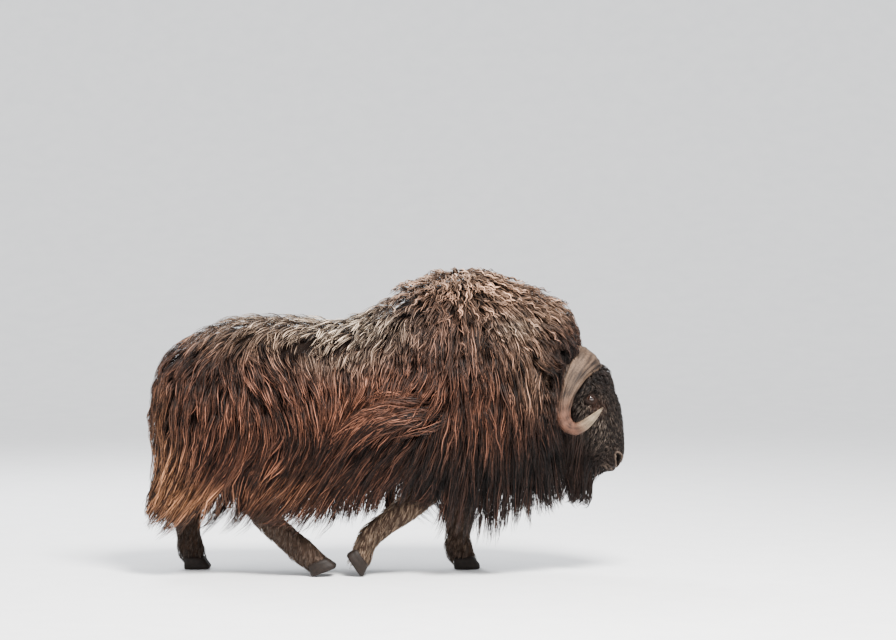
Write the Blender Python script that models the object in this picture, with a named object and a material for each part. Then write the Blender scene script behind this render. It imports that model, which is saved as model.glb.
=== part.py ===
"""A muskox bull in mid-stride, life size, as a museum would show it.

Metres, +Z up. The bull faces +X and its right flank is on the -Y side. The solids stand on the floor
at z = 0, with the origin under the middle of the whole animal.

The trunk is one loft of slanted sections, parted at three planes. Its coat is a set of flat tapered
locks, each one draped over the trunk along the lie of the hair and fused to the node it grows from.
"""

import math
import random

import bmesh
import bpy
import numpy as np
from mathutils import Vector
from mathutils.bvhtree import BVHTree

GAP = 0.0003
CUTTER_GAP = 0.0005
SEED = 11

RIGHT, LEFT = -1, 1
SIDE_WORDS = ((RIGHT, "right"), (LEFT, "left"))
UP = Vector((0, 0, 1))
ACROSS = Vector((0, 1, 0))

# The trunk's core: flesh and underwool, about half as deep as the coat.
SLANT_HEIGHT = 0.80
TRUNK_SIDES = 24
BELLY_POWER = 2.6
# x at SLANT_HEIGHT, slant, top, bottom, half width, height of the widest level, roof power
TRUNK = [
    (-1.030, 0.00, 0.860, 0.600, 0.070, 0.74, 2.0),
    (-0.995, 0.02, 0.980, 0.530, 0.165, 0.74, 2.0),
    (-0.900, 0.05, 1.085, 0.475, 0.255, 0.75, 2.0),
    (-0.740, 0.10, 1.155, 0.450, 0.315, 0.76, 2.0),
    (-0.500, 0.18, 1.170, 0.440, 0.335, 0.76, 2.0),
    (-0.250, 0.20, 1.150, 0.430, 0.345, 0.74, 2.0),
    (-0.070, 0.18, 1.215, 0.430, 0.350, 0.74, 1.9),
    (0.060, 0.15, 1.305, 0.430, 0.350, 0.75, 1.8),
    (0.250, 0.12, 1.375, 0.430, 0.345, 0.76, 1.8),
    (0.420, 0.10, 1.390, 0.440, 0.330, 0.78, 1.8),
    (0.550, 0.10, 1.345, 0.460, 0.300, 0.80, 1.8),
    (0.680, 0.11, 1.285, 0.500, 0.262, 0.82, 1.9),
    (0.790, 0.12, 1.220, 0.560, 0.215, 0.84, 2.0),
    (0.845, 0.13, 1.160, 0.620, 0.165, 0.86, 2.0),
]
# The nodes of the trunk, rear to front, with the ring positions inside each
TRUNK_NODES = {
    "torso_rear": (-1.030, -0.995, -0.930, -0.840, -0.720, -0.560, -0.370),
    "torso_middle": (-0.370, -0.250, -0.130, -0.020, 0.120),
    "torso_front": (0.120, 0.240, 0.360, 0.470, 0.560),
    "neck": (0.560, 0.650, 0.740, 0.800, 0.845),
}


def table(rows, at):
    """Smooth values of a table at `at`, a number in the range of its first column."""
    keys = np.array([row[0] for row in rows], float)
    values = np.array([row[1:] for row in rows], float)
    slopes = np.gradient(values, keys, axis=0)
    at = min(max(at, keys[0]), keys[-1])
    i = min(int(np.searchsorted(keys, at, side="right")) - 1, len(keys) - 2)
    span = keys[i + 1] - keys[i]
    t = (at - keys[i]) / span
    return (
        (2 * t**3 - 3 * t**2 + 1) * values[i]
        + (t**3 - 2 * t**2 + t) * span * slopes[i]
        + (3 * t**2 - 2 * t**3) * values[i + 1]
        + (t**3 - t**2) * span * slopes[i + 1]
    )


def power(value, exponent):
    return math.copysign(abs(value) ** exponent, value)


def new_object(name, points, faces):
    mesh = bpy.data.meshes.new(name)
    mesh.from_pydata([tuple(p) for p in points], [], faces)
    obj = bpy.data.objects.new(name, mesh)
    bpy.context.scene.collection.objects.link(obj)
    return obj


def loft(name, rings, tip=None):
    """A closed body through rings of equal count, capped flat, or drawn to a tip at the far end."""
    sides = len(rings[0])
    points = [p for ring in rings for p in ring]
    faces = [tuple(range(sides))]
    for i in range(len(rings) - 1):
        for j in range(sides):
            k = (j + 1) % sides
            faces.append((i * sides + j, (i + 1) * sides + j, (i + 1) * sides + k))
            faces.append((i * sides + j, (i + 1) * sides + k, i * sides + k))
    last = (len(rings) - 1) * sides
    if tip is None:
        faces.append(tuple(last + j for j in reversed(range(sides))))
    else:
        points.append(tip)
        faces += [(last + j, len(points) - 1, last + (j + 1) % sides) for j in range(sides)]
    obj = new_object(name, points, faces)
    face_outwards(obj)
    return obj


def face_outwards(obj):
    shape = bmesh.new()
    shape.from_mesh(obj.data)
    bmesh.ops.triangulate(shape, faces=[f for f in shape.faces if len(f.verts) > 4])
    bmesh.ops.recalc_face_normals(shape, faces=shape.faces)
    if shape.calc_volume(signed=True) < 0:
        bmesh.ops.reverse_faces(shape, faces=shape.faces)
    shape.to_mesh(obj.data)
    shape.free()


def take(obj):
    """Removes an object and its mesh."""
    mesh = obj.data
    bpy.data.objects.remove(obj)
    bpy.data.meshes.remove(mesh)


def combine(obj, others, operation):
    """Applies one Boolean of `others` to obj, then removes them."""
    group = bpy.data.collections.new("combined")
    for other in others:
        group.objects.link(other)
    modifier = obj.modifiers.new("combine", "BOOLEAN")
    modifier.operation = operation
    modifier.solver = "MANIFOLD"
    modifier.operand_type = "COLLECTION"
    modifier.collection = group
    graph = bpy.context.evaluated_depsgraph_get()
    made = bpy.data.meshes.new_from_object(obj.evaluated_get(graph))
    obj.modifiers.clear()
    old = obj.data
    obj.data = made
    made.name = obj.name
    bpy.data.meshes.remove(old)
    for other in others:
        take(other)
    bpy.data.collections.remove(group)


def keep_largest(obj):
    """Keeps the closed surface with the largest volume, and drops scraps and sealed hollows."""
    shape = bmesh.new()
    shape.from_mesh(obj.data)
    bmesh.ops.dissolve_verts(shape, verts=[v for v in shape.verts if len(v.link_edges) == 2])
    bmesh.ops.triangulate(shape, faces=shape.faces)
    todo = set(shape.faces)
    islands = []
    while todo:
        stack = [todo.pop()]
        island = []
        while stack:
            face = stack.pop()
            island.append(face)
            for edge in face.edges:
                if len(edge.link_faces) == 2:
                    todo_here = [f for f in edge.link_faces if f in todo]
                    todo.difference_update(todo_here)
                    stack += todo_here
        islands.append(island)

    def volume(island):
        return sum(f.verts[0].co.dot(f.verts[1].co.cross(f.verts[2].co)) for f in island)

    largest = max(islands, key=volume)
    dropped = [f for island in islands if island is not largest for f in island]
    bmesh.ops.delete(shape, geom=dropped, context="FACES")
    shape.to_mesh(obj.data)
    shape.free()


def cut_by_plane(obj, point, normal):
    """Removes what lies on the normal's side of a plane and closes the cut."""
    shape = bmesh.new()
    shape.from_mesh(obj.data)
    every = list(shape.verts) + list(shape.edges) + list(shape.faces)
    cut = bmesh.ops.bisect_plane(
        shape, geom=every, dist=1e-6, plane_co=point, plane_no=normal, clear_outer=True
    )
    rim = [e for e in cut["geom_cut"] if isinstance(e, bmesh.types.BMEdge)]
    bmesh.ops.contextual_create(shape, geom=rim)
    bmesh.ops.triangulate(shape, faces=[f for f in shape.faces if len(f.verts) > 4])
    bmesh.ops.recalc_face_normals(shape, faces=shape.faces)
    shape.to_mesh(obj.data)
    shape.free()


# Trunk


def trunk_ring(x, shift=0.0):
    """One slanted section of the trunk's core, from its ridge round the left side."""
    slant, top, bottom, half_width, widest, roof = table(TRUNK, x)
    ring = []
    for i in range(TRUNK_SIDES):
        angle = 2 * math.pi * i / TRUNK_SIDES
        above = math.cos(angle) >= 0
        exponent = 2 / (roof if above else BELLY_POWER)
        reach = (top - widest) if above else (widest - bottom)
        y = half_width * power(math.sin(angle), exponent)
        z = widest + reach * power(math.cos(angle), exponent)
        ring.append(Vector((x + shift + slant * (z - SLANT_HEIGHT), y, z)))
    return ring


def trunk_core(name):
    """The core of one trunk node, half a gap short of each parting plane."""
    stations = TRUNK_NODES[name]
    rings = [trunk_ring(x) for x in stations]
    if name != "torso_rear":
        rings[0] = trunk_ring(stations[0], GAP / 2)
    rings[-1] = trunk_ring(stations[-1], -GAP / 2)
    return loft(name, rings)


def whole_trunk_tree():
    """A search tree of the whole core, which the locks are draped on."""
    stations = sorted({x for node in TRUNK_NODES.values() for x in node})
    core = loft("whole", [trunk_ring(x) for x in stations])
    tree = tree_of(core)
    take(core)
    return tree


# Coat

# The lie of the hair in side view: x, z, degrees forward of straight down
LIE = [
    (-1.05, 0.62, -6),
    (-0.95, 0.91, -16),
    (-0.86, 0.81, -12),
    (-0.90, 0.48, -24),
    (-0.79, 1.10, -30),
    (-0.62, 1.14, 0),
    (-0.48, 1.00, 24),
    (-0.34, 0.81, 18),
    (-0.67, 0.81, 0),
    (-0.58, 0.48, -26),
    (-0.39, 0.53, -28),
    (-0.72, 0.30, -36),
    (-0.25, 1.00, 5),
    (-0.11, 1.10, 0),
    (-0.18, 0.62, -30),
    (-0.25, 0.34, -24),
    (0.08, 1.00, -8),
    (0.08, 0.53, -34),
    (0.22, 0.81, -20),
    (0.32, 1.19, -6),
    (0.32, 0.72, -12),
    (0.27, 0.39, -10),
    (0.55, 1.05, 10),
    (0.55, 0.67, 0),
    (0.50, 0.34, -3),
    (0.74, 1.10, 25),
    (0.76, 0.81, 4),
    (0.72, 0.48, 0),
    (0.86, 0.44, 14),
]
LIE_SPREAD = 0.14
# On the left no foreleg swings back, and from the flank forward the hair hangs straighter
LEFT_STRAIGHT_FROM = -0.40
LEFT_STRAIGHT_SHARE = 0.45
# The lower edge of the long hair: x, z
HEM = [
    (-1.12, 0.40),
    (-1.05, 0.23),
    (-0.97, 0.19),
    (-0.86, 0.23),
    (-0.67, 0.19),
    (-0.56, 0.26),
    (-0.39, 0.24),
    (-0.25, 0.21),
    (-0.12, 0.25),
    (0.02, 0.27),
    (0.25, 0.25),
    (0.38, 0.22),
    (0.50, 0.18),
    (0.58, 0.24),
    (0.70, 0.29),
    (0.84, 0.33),
    (0.97, 0.32),
]
# On the right the foreleg swings back and parts the hair: x, z
RIGHT_HEM = [
    (-0.18, 0.23),
    (-0.10, 0.27),
    (0.00, 0.33),
    (0.08, 0.37),
    (0.18, 0.41),
    (0.24, 0.40),
    (0.29, 0.25),
]


def lie_at(point):
    """The direction of the hair at a point, before it is laid along the skin."""
    total, weight = 0.0, 0.0
    for x, z, degrees in LIE:
        near = math.exp(-((point.x - x) ** 2 + (point.z - z) ** 2) / (2 * LIE_SPREAD**2)) + 1e-9
        total += near * degrees
        weight += near
    angle = math.radians(total / weight)
    if point.y > 0 and angle < 0 and point.x > LEFT_STRAIGHT_FROM:
        angle *= LEFT_STRAIGHT_SHARE
    return Vector((math.sin(angle), 0, -math.cos(angle)))


def hem_at(x, side):
    rows = HEM
    if side == RIGHT and RIGHT_HEM[0][0] < x < RIGHT_HEM[-1][0]:
        rows = RIGHT_HEM
    return float(np.interp(x, [r[0] for r in rows], [r[1] for r in rows]))


# How far hair on top of the back falls to its side, for each unit that it runs along its lie
FALL_ASIDE = 0.8
# A lock: how deep its root is sunk, its lift at the root and at the first bend as shares of the full
# lift, how much of its heading each bend keeps, and how far it is drawn back to the coat
ROOT_DEPTH = 0.035
ROOT_LIFT = 0.35
FIRST_LIFT = 0.6
HEADING_KEPT = 0.7
DRAWN_IN = 0.7
SHORTEST_STEP = 0.25
LOCK_WIDTH = 0.105
LOCK_THICKNESS = 0.026
THINNEST = 0.7
LOCK_PROFILE = (0.70, 0.95, 1.0, 0.92, 0.80, 0.62, 0.45)
# How clear a lock stays of a parting plane
CLEAR = 0.006


class Region:
    """The stretch of the trunk that one node's locks stay in."""

    def __init__(self, name):
        stations = TRUNK_NODES[name]
        self.low, self.high = stations[0], stations[-1]
        self.open_rear = name == "torso_rear"
        self.slant_low = table(TRUNK, self.low)[0]
        self.slant_high = table(TRUNK, self.high)[0]

    def held(self, path, width):
        """The path of a lock, moved along x until the lock is clear of both parting planes."""
        count = len(path) - 1
        return [self.clear(p, lock_size(i / count) * width / 2 + CLEAR) for i, p in enumerate(path)]

    def clear(self, point, margin):
        height = point.z - SLANT_HEIGHT
        low = self.low + self.slant_low * height + margin
        high = self.high + self.slant_high * height - margin
        x = min(point.x, high)
        if not self.open_rear:
            x = max(x, low)
        return Vector((x, point.y, point.z))


def along_surface(way, out, side):
    """A direction of hair, laid along a surface: what points inwards is taken off it, and hair on
    top of the back falls to its side."""
    aside = Vector((0, side * max(out.z, 0.0) * FALL_ASIDE, 0))
    return way - out * min(way.dot(out), 0.0) + aside - out * aside.dot(out)


def drape(tree, root, normal, length, lift, steps, lie, stop_z=None):
    """The path of a lock: out of the skin at its root, then over the coat along the lie."""
    side = math.copysign(1, root.y)
    path = [root - normal * ROOT_DEPTH]
    place = root + normal * lift * ROOT_LIFT
    heading = along_surface(lie(root), normal, side).normalized()
    outs = [normal, normal]
    path.append(place)
    step = length / steps
    out = normal
    for i in range(steps):
        heading = (heading * HEADING_KEPT + along_surface(lie(place), out, side)).normalized()
        target = place + heading * step
        spot, out, _, _ = tree.find_nearest(target)
        wanted = lift * (FIRST_LIFT + (1 - FIRST_LIFT) * (i + 1) / steps)
        height = (target - spot).dot(out)
        if height < wanted:
            target = target + out * (wanted - height)
        elif stop_z is None:
            target = target - out * (height - wanted) * DRAWN_IN
        heading = (target - place).normalized()
        if stop_z is not None and target.z < stop_z:
            share = (place.z - stop_z) / max(place.z - target.z, 1e-6)
            path.append(place.lerp(target, max(share, SHORTEST_STEP)))
            outs.append(outs[-1])
            break
        place = target
        path.append(place)
        outs.append((outs[-1] + out * 1.5).normalized())
    return path, outs


def lock_size(share):
    """The width of a lock at a share of its length, as a share of its full width."""
    if share >= 1.0:
        return 0.0
    at = share * (len(LOCK_PROFILE) - 1)
    return float(np.interp(at, range(len(LOCK_PROFILE)), LOCK_PROFILE))


def lock_mesh(path, outs, width, thickness):
    """A flat lock with a low ridge along its outer face, tapered to a point."""
    rings = []
    count = len(path) - 1
    across = (path[2] - path[0]).cross(outs[1]).normalized()
    for i in range(count):
        along = (path[i + 1] - path[max(i - 1, 0)]).normalized()
        if i > 0:
            across = along.cross(outs[i]).normalized()
        out = across.cross(along).normalized()
        size = lock_size(i / count)
        half = across * width / 2 * size
        ridge = out * thickness * (THINNEST + (1 - THINNEST) * size)
        rings.append([path[i] - half, path[i] + half, path[i] + ridge])
    return loft("lock", rings, tip=path[-1])


# Each tier of locks: angle round the trunk from the ridge, length, lift, spacing, share of the lock
# width, and whether it reaches the hem
TIERS = [
    (8, 0.34, 0.055, 0.150, 1.35, False),
    (37, 0.40, 0.046, 0.145, 1.30, False),
    (68, 0.42, 0.045, 0.140, 1.30, False),
    (97, 0.62, 0.040, 0.086, 1.10, True),
    (126, 0.50, 0.008, 0.170, 1.40, True),
]


# Locks behind the thighs: x, angle from the ridge, length, lift, width, lowest point
RUMP_LOCKS = [
    (-1.005, 22, 0.26, 0.040, 0.110, None),
    (-1.015, 58, 0.36, 0.040, 0.115, None),
    (-1.020, 92, 0.50, 0.036, 0.115, 0.23),
    (-1.028, 158, 0.40, 0.016, 0.120, 0.25),
]
RUMP_BACK = -0.10
RUMP_SPREAD = 0.12


def rump_locks(tree, dice):
    """The locks that cover the rear, on both sides of the tail."""
    locks = []
    for x, degrees, length, lift, width, low in RUMP_LOCKS:
        for side in (RIGHT, LEFT):
            spot = on_trunk(x, degrees + dice.uniform(-5, 5), side)
            root, normal, _, _ = tree.find_nearest(spot)
            way = Vector((RUMP_BACK, side * RUMP_SPREAD, -1)).normalized()
            stop = None if low is None else low + dice.uniform(-0.02, 0.02)
            path, outs = drape(tree, root, normal, length, lift, LONG_STEPS, lambda _, way=way: way, stop)
            locks.append((path, outs, width, LOCK_THICKNESS))
    return locks


# Where a node's first and last locks stand, from its ends, and how the two sides are staggered
FROM_END = 0.045
FROM_REAR = 0.03
STAGGER = {RIGHT: 0.3, LEFT: 0.7}
# The share of a pitch that may be left bare at a node's ends
FEWEST = 0.4
# The bends of a short and of a long lock
SHORT_STEPS = 3
LONG_STEPS = 4
# How far behind its root a lock meets the hem
HEM_BACK = 0.05


def on_trunk(x, degrees, side):
    """A point of the core's surface at x and an angle from the ridge on one side, with its normal."""
    slant, top, bottom, half_width, widest, roof = table(TRUNK, x)
    angle = math.radians(degrees)
    above = math.cos(angle) >= 0
    exponent = 2 / (roof if above else BELLY_POWER)
    reach = (top - widest) if above else (widest - bottom)
    y = side * half_width * power(math.sin(angle), exponent)
    z = widest + reach * power(math.cos(angle), exponent)
    return Vector((x + slant * (z - SLANT_HEIGHT), y, z))


def coat_locks(name, tree, dice):
    """The locks of one trunk node, tier by tier on both sides, as lists of what lock_mesh takes."""
    region = Region(name)
    locks = []
    low = region.low + (FROM_REAR if region.open_rear else FROM_END)
    high = region.high - FROM_END
    for degrees, length, lift, spacing, broad, to_hem in TIERS:
        count = math.ceil((high - low) / spacing - FEWEST)
        pitch = (high - low) / count
        for side in (RIGHT, LEFT):
            for i in range(count):
                x = low + pitch * (i + STAGGER[side])
                x += dice.uniform(-0.12, 0.12) * spacing
                spot = on_trunk(x, degrees + dice.uniform(-4, 4), side)
                root, normal, _, _ = tree.find_nearest(spot)
                width = LOCK_WIDTH * broad * dice.uniform(0.88, 1.12)
                stop = hem_at(root.x - HEM_BACK, side) + dice.uniform(-0.01, 0.03) if to_hem else None
                reach = length * dice.uniform(0.9, 1.1)
                steps = LONG_STEPS if to_hem else SHORT_STEPS
                path, outs = drape(tree, root, normal, reach, lift, steps, lie_at, stop)
                locks.append((region.held(path, width), outs, width, LOCK_THICKNESS))
    return locks


# A node is fused again, with single locks moved, until its surface touches itself nowhere.
ATTEMPTS = 40
NUDGE = 0.006
TOUCH = 1e-6


def touching_spots(obj):
    """Where two sheets of an object's surface meet along an edge."""
    shape = bmesh.new()
    shape.from_mesh(obj.data)
    bmesh.ops.remove_doubles(shape, verts=shape.verts, dist=TOUCH)
    spots = [(e.verts[0].co + e.verts[1].co) / 2 for e in shape.edges if len(e.link_faces) != 2]
    shape.free()
    return spots


def near_path(path, spot):
    """The distance from a spot to a path of points."""
    best = 1e9
    for start, end in zip(path, path[1:]):
        way = end - start
        share = min(max((spot - start).dot(way) / max(way.length_squared, 1e-12), 0.0), 1.0)
        best = min(best, (start + way * share - spot).length)
    return best


def fuse(name, core, locks, cutters, dice, trim=None):
    """One node: its core with its locks and without its cutters, moved until it is sound."""
    for _ in range(ATTEMPTS):
        node = core()
        node.name = name
        combine(node, [lock_mesh(*lock) for lock in locks], "UNION")
        shapes = cutters()
        if shapes:
            combine(node, shapes, "DIFFERENCE")
        if trim:
            trim(node)
        keep_largest(node)
        spots = touching_spots(node)
        if not spots:
            return
        for spot in spots:
            lock = min(locks, key=lambda item: near_path(item[0], spot))
            shift = Vector([dice.uniform(-NUDGE, NUDGE) for _ in range(3)])
            lock[0][:] = [p + shift for p in lock[0]]
        take(node)
    raise RuntimeError(f"{name} still touches itself")


# Legs

LEG_SIDES = 12
LEG_POWER = 0.9
# Each leg from its top down: x, distance from the middle plane, z, half length, half breadth
LEGS = {
    "hind_leg_left": {
        "side": LEFT,
        "path": [
            (-0.860, 0.165, 0.515, 0.105, 0.075),
            (-0.895, 0.163, 0.420, 0.088, 0.066),
            (-0.928, 0.160, 0.320, 0.068, 0.054),
            (-0.925, 0.158, 0.240, 0.058, 0.048),
            (-0.922, 0.156, 0.160, 0.056, 0.048),
            (-0.915, 0.155, 0.105, 0.062, 0.054),
        ],
        "sole": (-0.885, 0.155, 0.0),
        "pitch": 0.0,
    },
    "hind_leg_right": {
        "side": RIGHT,
        "path": [
            (-0.545, 0.170, 0.515, 0.105, 0.075),
            (-0.568, 0.168, 0.420, 0.088, 0.066),
            (-0.565, 0.165, 0.325, 0.068, 0.056),
            (-0.508, 0.162, 0.245, 0.060, 0.050),
            (-0.430, 0.160, 0.172, 0.058, 0.050),
            (-0.365, 0.158, 0.118, 0.060, 0.054),
        ],
        "sole": (-0.268, 0.158, 0.021),
        "pitch": 20.0,
    },
    "fore_leg_left": {
        "side": LEFT,
        "path": [
            (0.370, 0.165, 0.515, 0.100, 0.072),
            (0.368, 0.163, 0.410, 0.082, 0.064),
            (0.366, 0.160, 0.290, 0.066, 0.058),
            (0.362, 0.158, 0.220, 0.060, 0.052),
            (0.358, 0.156, 0.150, 0.060, 0.052),
            (0.362, 0.155, 0.105, 0.066, 0.056),
        ],
        "sole": (0.398, 0.155, 0.0),
        "pitch": 0.0,
    },
    "fore_leg_right": {
        "side": RIGHT,
        "path": [
            (0.285, 0.170, 0.515, 0.096, 0.072),
            (0.205, 0.170, 0.400, 0.072, 0.064),
            (0.110, 0.168, 0.310, 0.062, 0.058),
            (0.020, 0.165, 0.248, 0.056, 0.052),
            (-0.052, 0.162, 0.185, 0.054, 0.050),
            (-0.078, 0.160, 0.137, 0.047, 0.050),
        ],
        "sole": (-0.131, 0.158, 0.049),
        "pitch": -56.0,
    },
}
# A hoof in its own frame: x forward from the middle of the sole, z up from it
HOOF_LENGTH = 0.124
HOOF_BREADTH = 0.056
HOOF_CLEFT = 0.0016
CORONET_HEIGHT = 0.055
CORONET_BACK = 0.012
CORONET_HALF = (0.050, 0.046)
HOOF_SIDES = 12
# A claw's rings: height up the wall, share of the length, shift back, share of the breadth
HOOF_WALL = (
    (0.0, 0.94, 0.002, 0.93),
    (0.010, 1.0, 0.0, 1.0),
    (0.034, 0.90, 0.006, 0.95),
    (CORONET_HEIGHT, 0.74, CORONET_BACK, 0.84),
)
TOE_TAPER = 0.10
# A dewclaw in the foot's frame: where it stands, and its rings as distance out and radius
DEWCLAW_AT = (-0.056, 0.030, 0.088)
DEWCLAW_DROP = 0.5
DEWCLAW_RINGS = ((-0.020, 0.012), (0.006, 0.014), (0.018, 0.009))
DEWCLAW_SIDES = 6


def in_foot(leg, x, y, z):
    """A point of the foot's own frame, in the part's frame."""
    spec = LEGS[leg]
    pitch = math.radians(spec["pitch"])
    sole = spec["sole"]
    turned = (x * math.cos(pitch) - z * math.sin(pitch), x * math.sin(pitch) + z * math.cos(pitch))
    return Vector((sole[0] + turned[0], spec["side"] * sole[1] + y, sole[2] + turned[1]))


def foot_axes(leg):
    pitch = math.radians(LEGS[leg]["pitch"])
    return Vector((math.cos(pitch), 0, math.sin(pitch))), Vector((-math.sin(pitch), 0, math.cos(pitch)))


def leg_shape(leg, name, grow=0.0):
    """A leg down to its coronet, thickened by `grow` where it serves as a cutter."""
    spec = LEGS[leg]
    side = spec["side"]
    stations = [(Vector((x, side * y, z)), a, b) for x, y, z, a, b in spec["path"]]
    coronet = in_foot(leg, -CORONET_BACK, 0, CORONET_HEIGHT + GAP)
    stations.append((coronet, *CORONET_HALF))
    rings = []
    for i, (centre, half_length, half_breadth) in enumerate(stations):
        last = i == len(stations) - 1
        if i == 0:
            fore = Vector((1, 0, 0))
            centre = centre + UP * grow
        elif last:
            fore = foot_axes(leg)[0]
        else:
            down = (stations[i + 1][0] - stations[i - 1][0]).normalized()
            fore = ACROSS.cross(-down).normalized()
            fore = -fore if fore.x < 0 else fore
        ring = []
        for j in range(LEG_SIDES):
            angle = 2 * math.pi * j / LEG_SIDES
            along = fore * (half_length + grow) * power(math.cos(angle), LEG_POWER)
            aside = ACROSS * (half_breadth + grow) * power(math.sin(angle), LEG_POWER)
            ring.append(centre + along + aside)
        rings.append(ring)
    return loft(name, smooth_rings(rings, 2))


def smooth_rings(rings, pieces):
    """More rings between the given ones, on a smooth curve through them."""
    keys = np.arange(len(rings), dtype=float)
    values = np.array([[tuple(p) for p in ring] for ring in rings])
    slopes = np.gradient(values, keys, axis=0)
    made = []
    for i in range(len(rings) - 1):
        for step in range(pieces):
            t = step / pieces
            made.append(
                (2 * t**3 - 3 * t**2 + 1) * values[i]
                + (t**3 - 2 * t**2 + t) * slopes[i]
                + (3 * t**2 - 2 * t**3) * values[i + 1]
                + (t**3 - t**2) * slopes[i + 1]
            )
    made.append(values[-1])
    return [[Vector(p) for p in ring] for ring in made]


def dewclaw(leg, side):
    """One of the two small claws behind the fetlock, sunk in the leg."""
    rings = []
    x, y, z = DEWCLAW_AT
    up = foot_axes(leg)[1]
    for out, radius in DEWCLAW_RINGS:
        centre = in_foot(leg, x - out, side * y, z - out * DEWCLAW_DROP)
        angles = [2 * math.pi * k / DEWCLAW_SIDES for k in range(DEWCLAW_SIDES)]
        rings.append([centre + (ACROSS * math.cos(a) + up * math.sin(a)) * radius for a in angles])
    return loft("dewclaw", rings)


def claw(leg, name, inner):
    """One of a foot's two claws: straight on the cleft, round outside, flat where it meets the floor."""
    rings = []
    half = HOOF_LENGTH / 2
    for height, long_, back, broad in HOOF_WALL:
        ring = []
        for i in range(HOOF_SIDES):
            angle = 2 * math.pi * i / HOOF_SIDES
            x = half * long_ * power(math.cos(angle), 0.8) - back
            out = HOOF_BREADTH * broad * (0.5 + 0.5 * power(math.sin(angle), 0.75))
            toe = TOE_TAPER * HOOF_BREADTH * max(0.0, x / half)
            y = HOOF_CLEFT + max(out - toe, 0.0) + toe / 7
            ring.append(in_foot(leg, x, inner * y, height))
        rings.append(ring)
    obj = loft(name, rings)
    if LEGS[leg]["pitch"]:
        cut_by_plane(obj, Vector((0, 0, 0)), -UP)
    return obj


def legs():
    """Four legs with their claws."""
    for leg in LEGS:
        node = leg_shape(leg, leg)
        combine(node, [dewclaw(leg, side) for side in (RIGHT, LEFT)], "UNION")
        keep_largest(node)
        limb = leg.replace("_leg_", "_hoof_")
        for inner, word in SIDE_WORDS:
            claw(leg, f"{limb}_{word}_claw", inner)


# Head

POLL = Vector((0.885, 0, 0.985))
MUZZLE_WAY = Vector((0.400, 0, -0.9165))
FACE_WAY = Vector((0.9165, 0, 0.400))
HEAD_SIDES = 20
# Along the head from the poll: place, front, back, half width, front of the widest, power of the face
HEAD = [
    (-0.050, 0.030, -0.090, 0.070, -0.030, 2.0),
    (-0.020, 0.062, -0.115, 0.100, -0.030, 2.1),
    (0.040, 0.096, -0.130, 0.122, -0.025, 2.2),
    (0.100, 0.124, -0.135, 0.130, -0.015, 2.3),
    (0.160, 0.137, -0.135, 0.126, -0.005, 2.3),
    (0.220, 0.138, -0.130, 0.118, -0.005, 2.2),
    (0.300, 0.126, -0.125, 0.100, -0.010, 2.1),
    (0.380, 0.103, -0.120, 0.086, -0.015, 2.1),
    (0.440, 0.082, -0.118, 0.081, -0.020, 2.2),
    (0.490, 0.058, -0.112, 0.077, -0.025, 2.3),
    (0.522, 0.028, -0.102, 0.066, -0.030, 2.2),
    (0.543, -0.004, -0.086, 0.042, -0.040, 2.0),
]
HEAD_RINGS = (-0.05, 0.00, 0.06, 0.12, 0.18, 0.24, 0.31, 0.38, 0.44, 0.485, 0.515, 0.543)
# Along the head, front, distance from the middle plane
EYE_AT = (0.181, 0.016, 0.1085)
EYE_RADIUS = 0.0195
LID_HALF = 0.0185
LID_BOW = {True: 0.0125, False: 0.0120}
LID_RADIUS = 0.0035
LID_SWELL = {True: 0.0033, False: 0.0020}
LID_POINTS = 6
NOSTRIL_AT = (0.508, 0.036, 0.037)
NOSTRIL_RADIUS = 0.014
NOSTRIL_SCALE = (0.9, 1.0, 1.35)
THROAT_POWER = 2.2
# The plane that parts the head from the neck
PART_AT = Vector((0.845, 0, SLANT_HEIGHT))
PART_SLANT = 0.13


def in_head(along, front, y):
    return POLL + MUZZLE_WAY * along + FACE_WAY * front + Vector((0, y, 0))


def head_ring(along):
    front, back, half_width, widest, roof = table(HEAD, along)
    ring = []
    for i in range(HEAD_SIDES):
        angle = 2 * math.pi * i / HEAD_SIDES
        ahead = math.cos(angle) >= 0
        exponent = 2 / (roof if ahead else THROAT_POWER)
        reach = (front - widest) if ahead else (widest - back)
        y = half_width * power(math.sin(angle), exponent)
        ring.append(in_head(along, widest + reach * power(math.cos(angle), exponent), y))
    return ring


def on_head(along, degrees, side):
    """A point of the head's surface, at an angle from the face's middle line."""
    front, back, half_width, widest, roof = table(HEAD, along)
    angle = math.radians(degrees)
    ahead = math.cos(angle) >= 0
    exponent = 2 / (roof if ahead else THROAT_POWER)
    reach = (front - widest) if ahead else (widest - back)
    y = side * half_width * power(math.sin(angle), exponent)
    return in_head(along, widest + reach * power(math.cos(angle), exponent), y)


def tree_of(obj):
    shape = bmesh.new()
    shape.from_mesh(obj.data)
    tree = BVHTree.FromBMesh(shape)
    shape.free()
    return tree


# Hair of the head: place along the head, angle round it, length, lift, width, way, lowest point
HEAD_LOCKS = [
    # forelock, under the boss and down the brow
    (0.075, 10, 0.12, 0.012, 0.068, (0.42, 0.05, -0.88), None),
    (0.085, 38, 0.11, 0.014, 0.066, (0.32, 0.35, -0.85), None),
    # cheek
    (0.240, 104, 0.24, 0.016, 0.090, (-0.10, -0.10, -1.0), None),
    # throat, back to the neck
    (0.200, 142, 0.42, 0.012, 0.105, (-0.30, 0.02, -1.0), 0.34),
    (0.300, 122, 0.34, 0.014, 0.100, (-0.16, -0.06, -1.0), 0.35),
    (0.300, 168, 0.36, 0.008, 0.100, (-0.24, 0.01, -1.0), 0.33),
    # beard
    (0.390, 140, 0.30, 0.012, 0.090, (-0.02, 0.02, -1.0), 0.32),
    (0.410, 112, 0.20, 0.010, 0.080, (-0.04, -0.24, -1.0), 0.39),
    (0.450, 162, 0.22, 0.010, 0.080, (0.01, 0.01, -1.0), 0.34),
    (0.485, 150, 0.10, 0.006, 0.060, (0.12, -0.10, -1.0), 0.43),
]
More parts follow.
